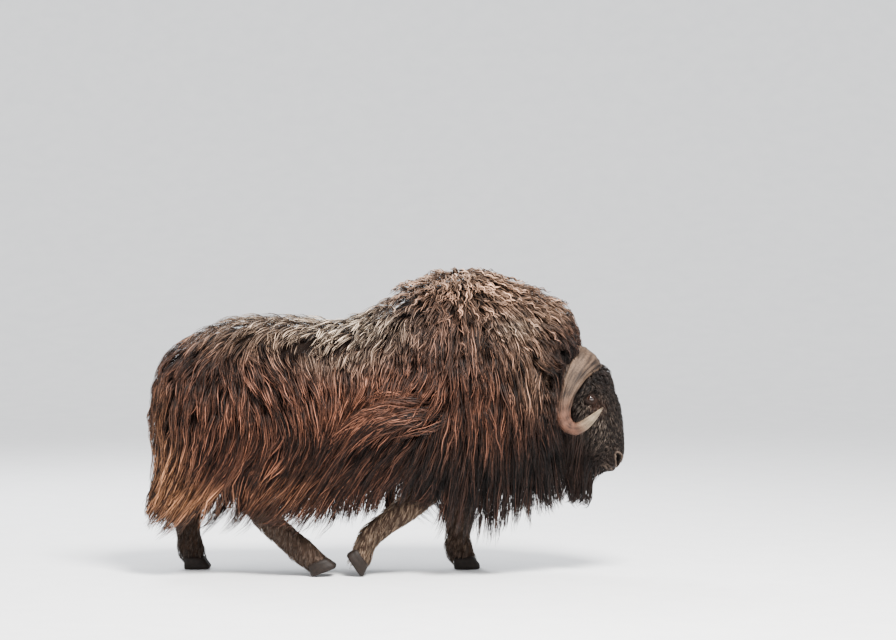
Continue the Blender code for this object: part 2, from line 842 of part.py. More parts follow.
HEAD_LOCK_THICKNESS = 0.020


def held_ahead(point, margin):
    """The point, moved forward until it is clear of the head's parting plane by the margin."""
    low = PART_AT.x + PART_SLANT * (point.z - PART_AT.z) + margin
    return Vector((max(point.x, low), point.y, point.z))


def head_locks(tree, dice):
    locks = []
    for along, degrees, length, lift, width, way, stop in HEAD_LOCKS:
        for side in (RIGHT, LEFT):
            spot = on_head(along + dice.uniform(-0.006, 0.006), degrees + dice.uniform(-3, 3), side)
            root, normal, _, _ = tree.find_nearest(spot)
            heading = Vector((way[0], side * way[1], way[2])).normalized()
            steps = 4 if length > 0.15 else 3
            low = None if stop is None else stop + dice.uniform(-0.015, 0.015)
            path, outs = drape(tree, root, normal, length, lift, steps, lambda _, way=heading: way, low)
            last = len(path) - 1
            margins = [lock_size(i / last) * width / 2 + CLEAR for i in range(last + 1)]
            path = path[:1] + [held_ahead(p, m) for p, m in zip(path[1:], margins[1:])]
            locks.append((path, outs, width, HEAD_LOCK_THICKNESS))
    return locks


def ball(name, centre, radius, segments=10, rings=7, scale=(1, 1, 1)):
    """A ball, or an egg where it is scaled."""
    shape = bmesh.new()
    bmesh.ops.create_uvsphere(shape, u_segments=segments, v_segments=rings, radius=radius)
    bmesh.ops.scale(shape, vec=scale, verts=shape.verts)
    bmesh.ops.translate(shape, vec=centre, verts=shape.verts)
    mesh = bpy.data.meshes.new(name)
    shape.to_mesh(mesh)
    shape.free()
    obj = bpy.data.objects.new(name, mesh)
    bpy.context.scene.collection.objects.link(obj)
    return obj


# A cross product shorter than this has two directions too near each other to be used
NEARLY_ALONG = 0.2
TUBE_SIDES = 4


def tube(name, path, radii):
    """A tube through points, with flat ends."""
    rings = []
    count = len(path)
    for i, centre in enumerate(path):
        along = (path[min(i + 1, count - 1)] - path[max(i - 1, 0)]).normalized()
        across = along.cross(ACROSS)
        if across.length < NEARLY_ALONG:
            across = along.cross(UP)
        across.normalize()
        other = along.cross(across)
        rings.append(
            [
                centre + across * radii[i] * math.cos(2 * math.pi * k / TUBE_SIDES)
                + other * radii[i] * math.sin(2 * math.pi * k / TUBE_SIDES)
                for k in range(TUBE_SIDES)
            ]
        )
    return loft(name, rings)


def eye_centre(side):
    along, front, y = EYE_AT
    return in_head(along, front, side * y)


def lid(side, upper):
    """An eyelid: a tube that follows the ball from corner to corner."""
    centre = eye_centre(side)
    out = Vector((0, side, 0))
    path, radii = [], []
    for i in range(LID_POINTS):
        angle = math.pi * i / (LID_POINTS - 1)
        x = -math.cos(angle) * LID_HALF
        y = math.sin(angle) * LID_BOW[upper] * (-1 if upper else 1)
        depth = math.sqrt((EYE_RADIUS + CUTTER_GAP) ** 2 - x * x - y * y)
        path.append(centre + FACE_WAY * x + MUZZLE_WAY * y + out * depth)
        radii.append(LID_RADIUS + LID_SWELL[upper] * math.sin(angle))
    return tube("lid", path, radii)


def nostril(side):
    """A comma-shaped hole in the muzzle."""
    along, front, y = NOSTRIL_AT
    return ball("nostril", in_head(along, front, side * y), NOSTRIL_RADIUS, 8, 6, NOSTRIL_SCALE)


# The mouth's line on the left side, from its corner to the middle: along the head, front, out
MOUTH = [
    (0.452, -0.074, 0.085),
    (0.492, -0.056, 0.085),
    (0.527, -0.038, 0.066),
    (0.549, -0.030, 0.030),
    (0.552, -0.028, 0.000),
]
LIP_SHIFT = 0.009
LIP_RADIUS = 0.006
MOUTH_RADIUS = 0.0035


def mouth_path(tree, shift):
    """From one corner of the mouth round the muzzle to the other, moved across the lips by `shift`."""
    path = []
    for side, rows in ((LEFT, MOUTH), (RIGHT, MOUTH[-2::-1])):
        for along, front, y in rows:
            spot, _, _, _ = tree.find_nearest(in_head(along, front + shift, side * y))
            path.append(spot)
    return path


def lips(tree):
    """Two raised lips round the muzzle."""
    count = 2 * len(MOUTH) - 1
    radii = [LIP_RADIUS] * count
    return [tube("lip", mouth_path(tree, shift), radii) for shift in (LIP_SHIFT, -LIP_SHIFT)]


def horn(side, name, grow=0.0):
    """A horn: broad boss on the brow, down behind the eye, then forward and out to its point."""
    rings = []
    centres = [Vector((x, side * y, z)) for x, y, z, *_ in HORN]
    turns = [2 * math.pi * k / HORN_SIDES for k in range(HORN_SIDES)]
    for i, (_, _, _, half_broad, half_thick, broad_x, broad_z) in enumerate(HORN):
        centre = centres[i]
        along = (centres[min(i + 1, len(HORN) - 1)] - centres[max(i - 1, 0)]).normalized()
        if i == 0:
            along = ACROSS * side
        broad = Vector((broad_x, 0, broad_z))
        broad = (broad - along * broad.dot(along)).normalized()
        thick = along.cross(broad).normalized()
        rings.append(
            [
                centre
                + broad * (half_broad + grow) * power(math.cos(turn), HORN_POWER)
                + thick * (half_thick + grow) * power(math.sin(turn), HORN_POWER)
                for turn in turns
            ]
        )
    if grow:
        rings[0] = [p - Vector((0, side * grow, 0)) for p in rings[0]]
    return loft(name, rings)


HORN_SIDES = 10
HORN_POWER = 0.85
# x, distance from the middle plane, z, half breadth, half thickness, direction of the breadth
HORN = [
    (0.953, 0.006, 0.984, 0.078, 0.034, 0.81, -0.586),
    (0.945, 0.060, 0.980, 0.074, 0.036, 0.80, -0.60),
    (0.905, 0.118, 0.945, 0.057, 0.036, 0.85, -0.50),
    (0.872, 0.158, 0.884, 0.044, 0.033, 1.00, -0.15),
    (0.850, 0.182, 0.822, 0.036, 0.032, 1.00, 0.10),
    (0.841, 0.196, 0.768, 0.0345, 0.031, 0.98, 0.20),
    (0.849, 0.206, 0.728, 0.033, 0.030, 0.87, 0.48),
    (0.871, 0.216, 0.700, 0.031, 0.029, 0.58, 0.80),
    (0.902, 0.227, 0.692, 0.028, 0.027, 0.15, 1.00),
    (0.940, 0.241, 0.711, 0.024, 0.023, -0.45, 0.90),
    (0.977, 0.261, 0.745, 0.017, 0.017, -0.60, 0.80),
    (1.002, 0.279, 0.772, 0.0095, 0.0095, -0.60, 0.80),
    (1.020, 0.293, 0.793, 0.003, 0.003, -0.60, 0.80),
]
# An ear from its root to its tip: share of the way, half breadth, depth of the cup
EAR_ROOT = (0.805, 0.150, 0.950)
EAR_TIP = (0.760, 0.266, 0.915)
EAR_ROWS = [
    (0.00, 0.020, 0.010),
    (0.22, 0.030, 0.014),
    (0.45, 0.036, 0.016),
    (0.68, 0.031, 0.012),
    (0.88, 0.017, 0.006),
    (1.00, 0.004, 0.002),
]
EAR_WALL = 0.006
EAR_FACING = (0.75, 0.45, -0.15)
EAR_POINTS = 6


def ear(side, name, grow=0.0):
    """A small leaf of an ear, cupped forward and out. The grown shape fills the cup too."""
    root = Vector((EAR_ROOT[0], side * EAR_ROOT[1], EAR_ROOT[2]))
    tip = Vector((EAR_TIP[0], side * EAR_TIP[1], EAR_TIP[2]))
    along = (tip - root).normalized()
    facing = Vector((EAR_FACING[0], side * EAR_FACING[1], EAR_FACING[2]))
    facing = (facing - along * facing.dot(along)).normalized()
    across = along.cross(facing).normalized()
    rings = []
    for share, half, cup in EAR_ROWS:
        centre = root.lerp(tip, share)
        if grow:
            centre = centre + along * grow * (2 * share - 1)
        back, front = [], []
        for i in range(EAR_POINTS):
            t = -1 + 2 * i / (EAR_POINTS - 1)
            bow = (1 - t * t) * cup * 2
            edge = across * t * (half + grow)
            hollow = 0.0 if grow else bow * 0.9
            back.append(centre + edge - facing * (bow + EAR_WALL / 2 + grow))
            front.append(centre + edge - facing * (hollow - EAR_WALL / 2 - grow))
        rings.append(back + front[::-1])
    return loft(name, rings)


def head_core():
    """The bare head with its lids and lips."""
    node = loft("head", [head_ring(along) for along in HEAD_RINGS])
    lids = [lid(side, upper) for side in (RIGHT, LEFT) for upper in (True, False)]
    combine(node, lids + lips(tree_of(node)), "UNION")
    return node


def part_from_neck(node):
    cut_by_plane(node, PART_AT + Vector((GAP, 0, 0)), Vector((-1, 0, PART_SLANT)))


def head_cutters():
    """What is taken out of the head: mouth, sockets, nostrils, and room for the horns and ears."""
    bare = loft("bare", [head_ring(along) for along in HEAD_RINGS])
    tree = tree_of(bare)
    take(bare)
    count = 2 * len(MOUTH) - 1
    cutters = [tube("mouth", mouth_path(tree, 0.0), [MOUTH_RADIUS] * count)]
    for side, _ in SIDE_WORDS:
        cutters.append(ball("socket", eye_centre(side), EYE_RADIUS + CUTTER_GAP))
        cutters.append(nostril(side))
    return cutters + set_in_head()


def head(dice):
    """The head, and the eyes, horns and ears that are set in it."""
    core = head_core()
    tree = tree_of(core)
    take(core)
    fuse("head", head_core, head_locks(tree, dice), head_cutters, dice, part_from_neck)
    for side, word in SIDE_WORDS:
        ball(f"eye_{word}", eye_centre(side), EYE_RADIUS)
        horn(side, f"horn_{word}")
        ear(side, f"ear_{word}")


def set_in_head():
    """Grown shapes of the horns and ears, to cut what lies round them."""
    grown = []
    for side, _ in SIDE_WORDS:
        grown.append(horn(side, "cutter", CUTTER_GAP))
        grown.append(ear(side, "cutter", CUTTER_GAP))
    return grown


# Tail

TAIL_ROOT = Vector((-1.030 - GAP, 0, 0.800))
# The stub: how far it stands out and hangs down, and its half sizes at root and end
TAIL_OUT = 0.034
TAIL_RISE = 0.020
TAIL_DROP = 0.110
TAIL_HALF_BREADTH = (0.034, 0.022)
TAIL_HALF_DEPTH = (0.030, 0.020)
TAIL_SIDES = 8
TAIL_THICKNESS = 0.020
# Length, distance from the middle plane, start along the stub, sideways lean, width
TAIL_LOCKS = [
    (0.20, 0.000, 0.45, 0.00, 0.070),
    (0.17, -0.024, 0.30, -0.16, 0.060),
    (0.17, 0.024, 0.30, 0.16, 0.060),
]


def tail_pieces(grow=0.0):
    """A short stub and the flat locks that cover it, each thickened by `grow`."""
    rings = []
    turns = [2 * math.pi * k / TAIL_SIDES for k in range(TAIL_SIDES)]
    for share in (0.0, 0.35, 0.7, 1.0):
        centre = TAIL_ROOT + Vector((-TAIL_OUT * share**0.6, 0, TAIL_RISE - TAIL_DROP * share))
        across = float(np.interp(share, (0, 1), TAIL_HALF_BREADTH)) + grow
        deep = float(np.interp(share, (0, 1), TAIL_HALF_DEPTH)) + grow
        tilt = UP if share == 0.0 else Vector((-0.5, 0, 0.85)).normalized()
        if share == 1.0:
            centre = centre - UP * grow
        rings.append([centre + ACROSS * across * math.cos(t) + tilt * deep * math.sin(t) for t in turns])
    pieces = [loft("tail", rings)]
    for length, y, start, lean, width in TAIL_LOCKS:
        root = TAIL_ROOT + Vector((-0.030, y, 0.010 - 0.10 * start))
        path = [root + Vector((0.02, 0, 0.01)), root + Vector((-0.012, 0, 0))]
        for i in range(3):
            path.append(path[-1] + Vector((-0.008 + 0.004 * i, lean * length / 3, -length / 3)))
        out = Vector((-1, 0, 0.1))
        path = [p - out * grow for p in path]
        path[-1] = path[-1] + Vector((0, 0, -2 * grow))
        pieces.append(lock_mesh(path, [out] * len(path), width + 2 * grow, TAIL_THICKNESS + 2 * grow))
    return pieces


def tail():
    pieces = tail_pieces()
    combine(pieces[0], pieces[1:], "UNION")
    keep_largest(pieces[0])


# Mane

# Locks that hang over the brow behind the boss: distance from the middle plane, the points of the path
# as x and z, and the width
MANE_FRONT = [
    (0.000, [(0.80, 1.17), (0.860, 1.215), (0.915, 1.190), (0.930, 1.130), (0.915, 1.075)], 0.100),
    (0.080, [(0.80, 1.14), (0.855, 1.190), (0.905, 1.160), (0.918, 1.100), (0.900, 1.045)], 0.095),
    (0.145, [(0.79, 1.09), (0.840, 1.130), (0.878, 1.085), (0.875, 1.010), (0.850, 0.930)], 0.095),
    (0.195, [(0.78, 0.98), (0.815, 1.010), (0.840, 0.955), (0.832, 0.860), (0.812, 0.750)], 0.095),
]


def mane_front():
    """The locks that hang over the brow, as lists of what lock_mesh takes."""
    locks = []
    for y, points, width in MANE_FRONT:
        for side in (RIGHT, LEFT) if y else (LEFT,):
            path = [Vector((x, side * y * (1 + 0.05 * i), z)) for i, (x, z) in enumerate(points)]
            outs = []
            for i in range(len(path)):
                along = (path[min(i + 1, len(path) - 1)] - path[max(i - 1, 0)]).normalized()
                out = Vector((0.35, side * y * 6, 0.6)) if i < 2 else Vector((1, side * y * 7, 0.3))
                outs.append((out - along * out.dot(along)).normalized())
            locks.append((path, outs, width, LOCK_THICKNESS))
    return locks


# Colours

FUR_ROUGHNESS = 0.85
# Colour and roughness of each kind of surface
SURFACES = {
    "rump": ((0.105, 0.048, 0.026), FUR_ROUGHNESS),
    "saddle": ((0.150, 0.085, 0.052), FUR_ROUGHNESS),
    "hump": ((0.130, 0.070, 0.042), FUR_ROUGHNESS),
    "mane": ((0.095, 0.052, 0.034), FUR_ROUGHNESS),
    "face": ((0.030, 0.022, 0.018), FUR_ROUGHNESS),
    "leg": ((0.200, 0.135, 0.085), FUR_ROUGHNESS),
    "horn": ((0.340, 0.240, 0.170), 0.55),
    "eye": ((0.012, 0.009, 0.008), 0.08),
    "hoof": ((0.035, 0.028, 0.024), 0.60),
}
# The start of a node's name and its surface
SURFACE_OF = [
    ("torso_rear", "rump"),
    ("torso_middle", "saddle"),
    ("torso_front", "hump"),
    ("neck", "mane"),
    ("tail", "rump"),
    ("head", "face"),
    ("ear", "mane"),
    ("horn", "horn"),
    ("eye", "eye"),
    ("hind_leg", "leg"),
    ("fore_leg", "leg"),
    ("hind_hoof", "hoof"),
    ("fore_hoof", "hoof"),
]


def paint(obj):
    surface = next(kind for start, kind in SURFACE_OF if obj.name.startswith(start))
    colour, roughness = SURFACES[surface]
    material = bpy.data.materials.new(obj.name)
    material.use_nodes = True
    shader = material.node_tree.nodes["Principled BSDF"]
    shader.inputs["Base Color"].default_value = (*colour, 1)
    shader.inputs["Roughness"].default_value = roughness
    shader.inputs["Metallic"].default_value = 0.0
    obj.data.materials.clear()
    obj.data.materials.append(material)


def centre_over_origin(nodes):
    """Moves every node in x and y, until the origin is under the middle of the whole."""
    points = np.array([tuple(v.co) for obj in nodes for v in obj.data.vertices])
    middle = (points.min(axis=0) + points.max(axis=0)) / 2
    for obj in nodes:
        for vertex in obj.data.vertices:
            vertex.co -= Vector((middle[0], middle[1], 0))


# Legs that pass through or under each node of the trunk
LEGS_IN = {
    "torso_rear": ["hind_leg_left", "hind_leg_right"],
    "torso_middle": ["hind_leg_right", "fore_leg_right"],
    "torso_front": ["fore_leg_left", "fore_leg_right"],
    "neck": [],
}


def trunk_cutters(name):
    """What is taken out of one node of the trunk."""
    shapes = [leg_shape(leg, "cutter", CUTTER_GAP) for leg in LEGS_IN[name]]
    if name == "neck":
        shapes += set_in_head()
    if name == "torso_rear":
        shapes += tail_pieces(CUTTER_GAP)
    return shapes


def trunk(dice):
    """The nodes of the trunk with their coat, cut clear of the legs, the tail, the horns and the ears."""
    tree = whole_trunk_tree()
    for name in TRUNK_NODES:
        locks = coat_locks(name, tree, dice)
        if name == "neck":
            locks += mane_front()
        if name == "torso_rear":
            locks += rump_locks(tree, dice)
        fuse(name, lambda node=name: trunk_core(node), locks, lambda node=name: trunk_cutters(node), dice)


def main():
    for obj in list(bpy.data.objects):
        bpy.data.objects.remove(obj)
    dice = random.Random(SEED)
    trunk(dice)
    head(dice)
    tail()
    legs()
    parts = bpy.data.collections.new("muskox")
    bpy.context.scene.collection.children.link(parts)
    nodes = list(bpy.context.scene.collection.objects)
    for obj in nodes:
        bpy.context.scene.collection.objects.unlink(obj)
        parts.objects.link(obj)
        paint(obj)
    centre_over_origin(nodes)


main()
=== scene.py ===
"""The looks of a muskox bull in mid-stride: one skin, a coat of solid tufts, horns, eyes and hooves.

Metres, +Z up, with x forward, the middle plane at y = 0 and the floor at z = 0. Every shape is worked out
in the frame that the solids were built in, and SHIFT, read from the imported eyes, moves it to theirs.
"""

import math
from collections import namedtuple
from functools import partial

import bpy
import numpy as np
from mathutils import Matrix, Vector
from mathutils.bvhtree import BVHTree


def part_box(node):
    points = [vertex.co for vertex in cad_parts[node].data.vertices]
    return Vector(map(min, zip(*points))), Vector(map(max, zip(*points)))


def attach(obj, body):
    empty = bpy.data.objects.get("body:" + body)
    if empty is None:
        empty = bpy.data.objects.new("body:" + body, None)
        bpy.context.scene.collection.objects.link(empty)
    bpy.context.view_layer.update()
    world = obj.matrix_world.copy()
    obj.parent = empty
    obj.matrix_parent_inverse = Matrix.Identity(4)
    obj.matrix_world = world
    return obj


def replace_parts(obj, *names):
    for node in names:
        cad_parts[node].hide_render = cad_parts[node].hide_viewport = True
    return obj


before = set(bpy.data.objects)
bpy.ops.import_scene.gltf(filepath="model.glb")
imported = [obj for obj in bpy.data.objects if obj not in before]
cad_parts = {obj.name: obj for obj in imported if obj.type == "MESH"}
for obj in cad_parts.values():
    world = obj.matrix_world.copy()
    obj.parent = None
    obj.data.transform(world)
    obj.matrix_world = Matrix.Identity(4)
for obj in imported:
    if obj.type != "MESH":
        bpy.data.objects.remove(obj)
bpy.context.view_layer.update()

RIGHT, LEFT = -1, 1
SIDES = ((RIGHT, "right"), (LEFT, "left"))
ACROSS = np.array((0.0, 1.0, 0.0))
TURN = 2 * math.pi
SEED = 7
COAT_SHARE = 1.0

# Trunk, as the solids have it: x at SLANT_HEIGHT, slant, top, bottom, half width, widest level, roof
SLANT_HEIGHT = 0.80
BELLY_POWER = 2.6
TRUNK = [
    (-1.03, 0.0, 0.86, 0.6, 0.07, 0.74, 2.0), (-0.995, 0.02, 0.98, 0.53, 0.165, 0.74, 2.0),
    (-0.9, 0.05, 1.085, 0.475, 0.255, 0.75, 2.0), (-0.74, 0.1, 1.155, 0.45, 0.315, 0.76, 2.0),
    (-0.5, 0.18, 1.17, 0.44, 0.335, 0.76, 2.0), (-0.25, 0.2, 1.15, 0.43, 0.345, 0.74, 2.0),
    (-0.07, 0.18, 1.215, 0.43, 0.35, 0.74, 1.9), (0.06, 0.15, 1.305, 0.43, 0.35, 0.75, 1.8),
    (0.25, 0.12, 1.375, 0.43, 0.345, 0.76, 1.8), (0.42, 0.1, 1.39, 0.44, 0.33, 0.78, 1.8),
    (0.55, 0.1, 1.345, 0.46, 0.3, 0.8, 1.8), (0.68, 0.11, 1.285, 0.5, 0.262, 0.82, 1.9),
    (0.79, 0.12, 1.22, 0.56, 0.215, 0.84, 2.0), (0.845, 0.13, 1.16, 0.62, 0.165, 0.86, 2.0),
]
# The skin lies this far under the core of the solids, which is flesh and underwool together
WOOL = 0.030
WOOL_OF_BACK = 0.012

# Head, as the solids have it
POLL = np.array((0.885, 0.0, 0.985))
MUZZLE_WAY = np.array((0.400, 0.0, -0.9165))
FACE_WAY = np.array((0.9165, 0.0, 0.400))
THROAT_POWER = 2.2
# Along the head from the poll: place, front, back, half width, front of the widest, power of the face
HEAD = [
    (-0.05, 0.03, -0.09, 0.07, -0.03, 2.0), (-0.02, 0.062, -0.115, 0.1, -0.03, 2.1),
    (0.04, 0.096, -0.13, 0.122, -0.025, 2.2), (0.1, 0.124, -0.135, 0.13, -0.015, 2.3),
    (0.16, 0.137, -0.135, 0.126, -0.005, 2.3), (0.22, 0.138, -0.13, 0.118, -0.005, 2.2),
    (0.3, 0.126, -0.125, 0.1, -0.01, 2.1), (0.38, 0.103, -0.12, 0.086, -0.015, 2.1),
    (0.44, 0.082, -0.118, 0.081, -0.02, 2.2), (0.49, 0.058, -0.112, 0.077, -0.025, 2.3),
    (0.522, 0.028, -0.102, 0.066, -0.03, 2.2), (0.543, -0.004, -0.086, 0.042, -0.04, 2.0),
]
HEAD_FUR = 0.007
# How far the lips and the chin are drawn up
LIP_LIFT = 0.024
EYE_AT = (0.181, 0.016, 0.1085)
EYE_RADIUS = 0.0195
# The mouth's line on one side, from its corner to the middle: along the head, front, out
MOUTH = [
    (0.452, -0.074, 0.085), (0.492, -0.056, 0.085), (0.527, -0.038, 0.066), (0.549, -0.03, 0.03),
    (0.556, -0.028, 0.0),
]

# Legs, as the solids have them: x, distance from the middle plane, z, half length, half breadth
LEGS = {
    "hind_leg_left": {
        "side": LEFT,
        "path": [
            (-0.86, 0.165, 0.515, 0.105, 0.075), (-0.895, 0.163, 0.42, 0.088, 0.066),
            (-0.928, 0.16, 0.32, 0.068, 0.054), (-0.925, 0.158, 0.24, 0.058, 0.048),
            (-0.922, 0.156, 0.16, 0.056, 0.048), (-0.915, 0.155, 0.105, 0.062, 0.054),
        ],
        "sole": (-0.885, 0.155, 0.0),
        "pitch": 0.0,
    },
    "hind_leg_right": {
        "side": RIGHT,
        "path": [
            (-0.545, 0.17, 0.515, 0.105, 0.075), (-0.568, 0.168, 0.42, 0.088, 0.066),
            (-0.565, 0.165, 0.325, 0.068, 0.056), (-0.508, 0.162, 0.245, 0.06, 0.05),
            (-0.43, 0.16, 0.172, 0.058, 0.05), (-0.365, 0.158, 0.118, 0.06, 0.054),
        ],
        "sole": (-0.268, 0.158, 0.021),
        "pitch": 20.0,
    },
    "fore_leg_left": {
        "side": LEFT,
        "path": [
            (0.37, 0.165, 0.515, 0.1, 0.072), (0.368, 0.163, 0.41, 0.082, 0.064),
            (0.366, 0.16, 0.29, 0.066, 0.058), (0.362, 0.158, 0.22, 0.06, 0.052),
            (0.358, 0.156, 0.15, 0.06, 0.052), (0.362, 0.155, 0.105, 0.066, 0.056),
        ],
        "sole": (0.398, 0.155, 0.0),
        "pitch": 0.0,
    },
    "fore_leg_right": {
        "side": RIGHT,
        "path": [
            (0.285, 0.17, 0.515, 0.096, 0.072), (0.205, 0.17, 0.4, 0.072, 0.064),
            (0.11, 0.168, 0.31, 0.062, 0.058), (0.02, 0.165, 0.248, 0.056, 0.052),
            (-0.052, 0.162, 0.185, 0.054, 0.05), (-0.078, 0.16, 0.137, 0.047, 0.05),
        ],
        "sole": (-0.131, 0.158, 0.049),
        "pitch": -56.0,
    },
}
LEG_FUR = 0.006
HOOF_LENGTH = 0.124
HOOF_BREADTH = 0.056
HOOF_CLEFT = 0.0016
CORONET_HEIGHT = 0.055
CORONET_BACK = 0.012
CORONET_HALF = (0.050, 0.046)

# Horns, as the solids have them: x, from the middle plane, z, half breadth, half thickness, breadth's way
HORN = [
    (0.95, 0.002, 1.006, 0.09, 0.046, 0.81, -0.586), (0.943, 0.06, 1.001, 0.086, 0.047, 0.8, -0.6),
    (0.905, 0.118, 0.954, 0.063, 0.041, 0.85, -0.5), (0.872, 0.158, 0.886, 0.046, 0.034, 1.0, -0.15),
    (0.85, 0.182, 0.822, 0.036, 0.032, 1.0, 0.1), (0.841, 0.196, 0.768, 0.0345, 0.031, 0.98, 0.2),
    (0.849, 0.206, 0.728, 0.033, 0.03, 0.87, 0.48), (0.871, 0.216, 0.7, 0.031, 0.029, 0.58, 0.8),
    (0.902, 0.227, 0.692, 0.028, 0.027, 0.15, 1.0), (0.94, 0.241, 0.711, 0.024, 0.023, -0.45, 0.9),
    (0.977, 0.261, 0.745, 0.017, 0.017, -0.6, 0.8), (1.002, 0.279, 0.772, 0.0095, 0.0095, -0.6, 0.8),
    (1.02, 0.293, 0.793, 0.003, 0.003, -0.6, 0.8),
]
# Ears: root, tip, and rows of share of the way, half breadth, depth of the cup
EAR_ROOT = (0.805, 0.150, 0.950)
EAR_TIP = (0.760, 0.266, 0.915)
EAR_ROWS = [
    (0.0, 0.02, 0.01), (0.22, 0.03, 0.014), (0.45, 0.036, 0.016), (0.68, 0.031, 0.012),
    (0.88, 0.017, 0.006), (1.0, 0.004, 0.002),
]
TAIL_ROOT = np.array((-1.010, 0.0, 0.800))

# Arithmetic


def step(low, high, value):
    """0 below low, 1 above high, smooth between."""
    t = np.clip((value - low) / (high - low), 0, 1)
    return t * t * (3 - 2 * t)


def bell(value, middle, width):
    """1 at the middle, falling off on both sides."""
    return np.exp(-(((value - middle) / width) ** 2))


def power(value, exponent):
    return np.copysign(np.abs(value) ** exponent, value)


def unit(vectors):
    return vectors / np.maximum(np.linalg.norm(vectors, axis=-1, keepdims=True), 1e-12)


def dot(a, b):
    return (a * b).sum(axis=-1, keepdims=True)


def tangent(ways, outs):
    """Ways laid flat on a surface."""
    return unit(ways - dot(ways, outs) * outs)


def ring_turns(count):
    return np.linspace(0, TURN, count, endpoint=False)


def smooth(rows, at):
    """Smooth values of a table, one row for each number in `at`."""
    keys = np.array([row[0] for row in rows], float)
    values = np.array([row[1:] for row in rows], float)
    slopes = np.gradient(values, keys, axis=0)
    at = np.clip(np.atleast_1d(np.asarray(at, float)), keys[0], keys[-1])
    i = np.clip(np.searchsorted(keys, at, side="right") - 1, 0, len(keys) - 2)
    span = (keys[i + 1] - keys[i])[:, None]
    t = (at - keys[i])[:, None] / span
    start = (2 * t**3 - 3 * t**2 + 1) * values[i] + (t**3 - 2 * t**2 + t) * span * slopes[i]
    return start + (3 * t**2 - 2 * t**3) * values[i + 1] + (t**3 - t**2) * span * slopes[i + 1]


def smooth_rows(rows, count):
    """A table spread evenly over `count` rows."""
    return smooth([(float(i), *row) for i, row in enumerate(rows)], np.linspace(0, len(rows) - 1, count))


def in_head(along, front, y):
    """Points of the head's own frame, in the body's frame."""
    along, front, y = np.broadcast_arrays(along, front, y)
    along = along - LIP_LIFT * step(0.45, 0.545, along) * step(0.012, -0.040, front)
    return POLL + along[..., None] * MUZZLE_WAY + front[..., None] * FACE_WAY + y[..., None] * ACROSS


def head_place(points):
    """Along the head and to its front, for points of the body's frame."""
    local = points - POLL
    return local @ MUZZLE_WAY, local @ FACE_WAY


def eye_at(side):
    return in_head(EYE_AT[0], EYE_AT[1], side * EYE_AT[2])


def packed_middle(axis):
    """The middle of the two packed eyes along one axis."""
    low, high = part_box("eye_right")[0][axis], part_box("eye_left")[1][axis]
    return (low + high) / 2


SHIFT = np.array((packed_middle(0) - eye_at(RIGHT)[0], packed_middle(1), 0.0))

# Meshes


def place(name, data):
    """A new object of the scene for a mesh, light or camera."""
    obj = bpy.data.objects.new(name, data)
    bpy.context.scene.collection.objects.link(obj)
    return obj


def mesh_object(name, points, faces):
    """A smooth object of points in the building frame."""
    mesh = bpy.data.meshes.new(name)
    mesh.from_pydata([tuple(p) for p in np.asarray(points) + SHIFT], [], [tuple(f) for f in faces])
    mesh.update()
    mesh.shade_smooth()
    return place(name, mesh)


def mesh_points(obj):
    """The vertices of an object, in the building frame."""
    points = np.empty(len(obj.data.vertices) * 3)
    obj.data.vertices.foreach_get("co", points)
    return points.reshape(-1, 3) - SHIFT


def turn_outwards(obj):
    """Flips the faces of a closed mesh whose normals point inwards."""
    obj.data.calc_loop_triangles()
    corners = np.array([triangle.vertices for triangle in obj.data.loop_triangles])
    a, b, c = mesh_points(obj)[corners].transpose(1, 0, 2)
    if (a * np.cross(b, c)).sum() < 0:
        obj.data.flip_normals()
    return obj


def ring_quads(rows, columns, closed=False):
    """Quads between the rings of a grid; a closed grid joins its last ring to the first."""
    i, j = np.divmod(np.arange((rows if closed else rows - 1) * columns), columns)
    n, k = (i + 1) % rows, (j + 1) % columns
    return np.stack([i * columns + j, n * columns + j, n * columns + k, i * columns + k], axis=1)


def tube_object(name, grid):
    """A closed object through rings, shaped (rings, points, 3), with a point in the middle of each end."""
    rows, columns, _ = grid.shape
    points = np.concatenate([grid.reshape(-1, 3), grid[0].mean(axis=0)[None], grid[-1].mean(axis=0)[None]])
    j = np.arange(columns)
    k = (j + 1) % columns
    middle, last = 0 * j + rows * columns, (rows - 1) * columns
    first_end = np.stack([middle, j, k], axis=1)
    last_end = np.stack([middle + 1, last + k, last + j], axis=1)
    return turn_outwards(mesh_object(name, points, [*ring_quads(rows, columns), *first_end, *last_end]))


def with_ends(values):
    """Values of a tube's rings, followed by those of the points in its ends."""
    return np.concatenate([values, values[:1], values[-1:]])


def rounded(grid, bulge, at_end, rings=8):
    """The grid with one end closed by rings that shrink along a quarter circle."""
    ring = grid[-1] if at_end else grid[0]
    centre = ring.mean(axis=0)
    turns = np.linspace(0, math.pi / 2, rings + 1)[1:-1]
    caps = np.array([centre + (ring - centre) * math.cos(t) + bulge * math.sin(t) for t in turns])
    return np.concatenate([grid, caps] if at_end else [caps[::-1], grid])


def combine(obj, others, operation):
    """Applies one Boolean of `others` to obj, then removes them."""
    group = bpy.data.collections.new("combined")
    for other in others:
        group.objects.link(other)
    modifier = obj.modifiers.new("combine", "BOOLEAN")
    modifier.operation = operation
    modifier.solver = "MANIFOLD"
    modifier.operand_type = "COLLECTION"
    modifier.collection = group
    made = bpy.data.meshes.new_from_object(obj.evaluated_get(bpy.context.evaluated_depsgraph_get()))
    obj.modifiers.clear()
    spent = [obj.data, *(other.data for other in others)]
    obj.data = made
    for mesh in spent:
        bpy.data.meshes.remove(mesh)
    bpy.data.collections.remove(group)
    made.name = obj.name


def set_colour(obj, colours, material):
    """Gives an object its material and the colours of its points."""
    attribute = obj.data.attributes.new("pelt", "FLOAT_COLOR", "POINT")
    rgba = np.concatenate([colours, np.ones((len(colours), 1))], axis=1)
    attribute.data.foreach_set("color", rgba.astype(np.float32).ravel())
    obj.data.materials.clear()
    obj.data.materials.append(material)
    return obj


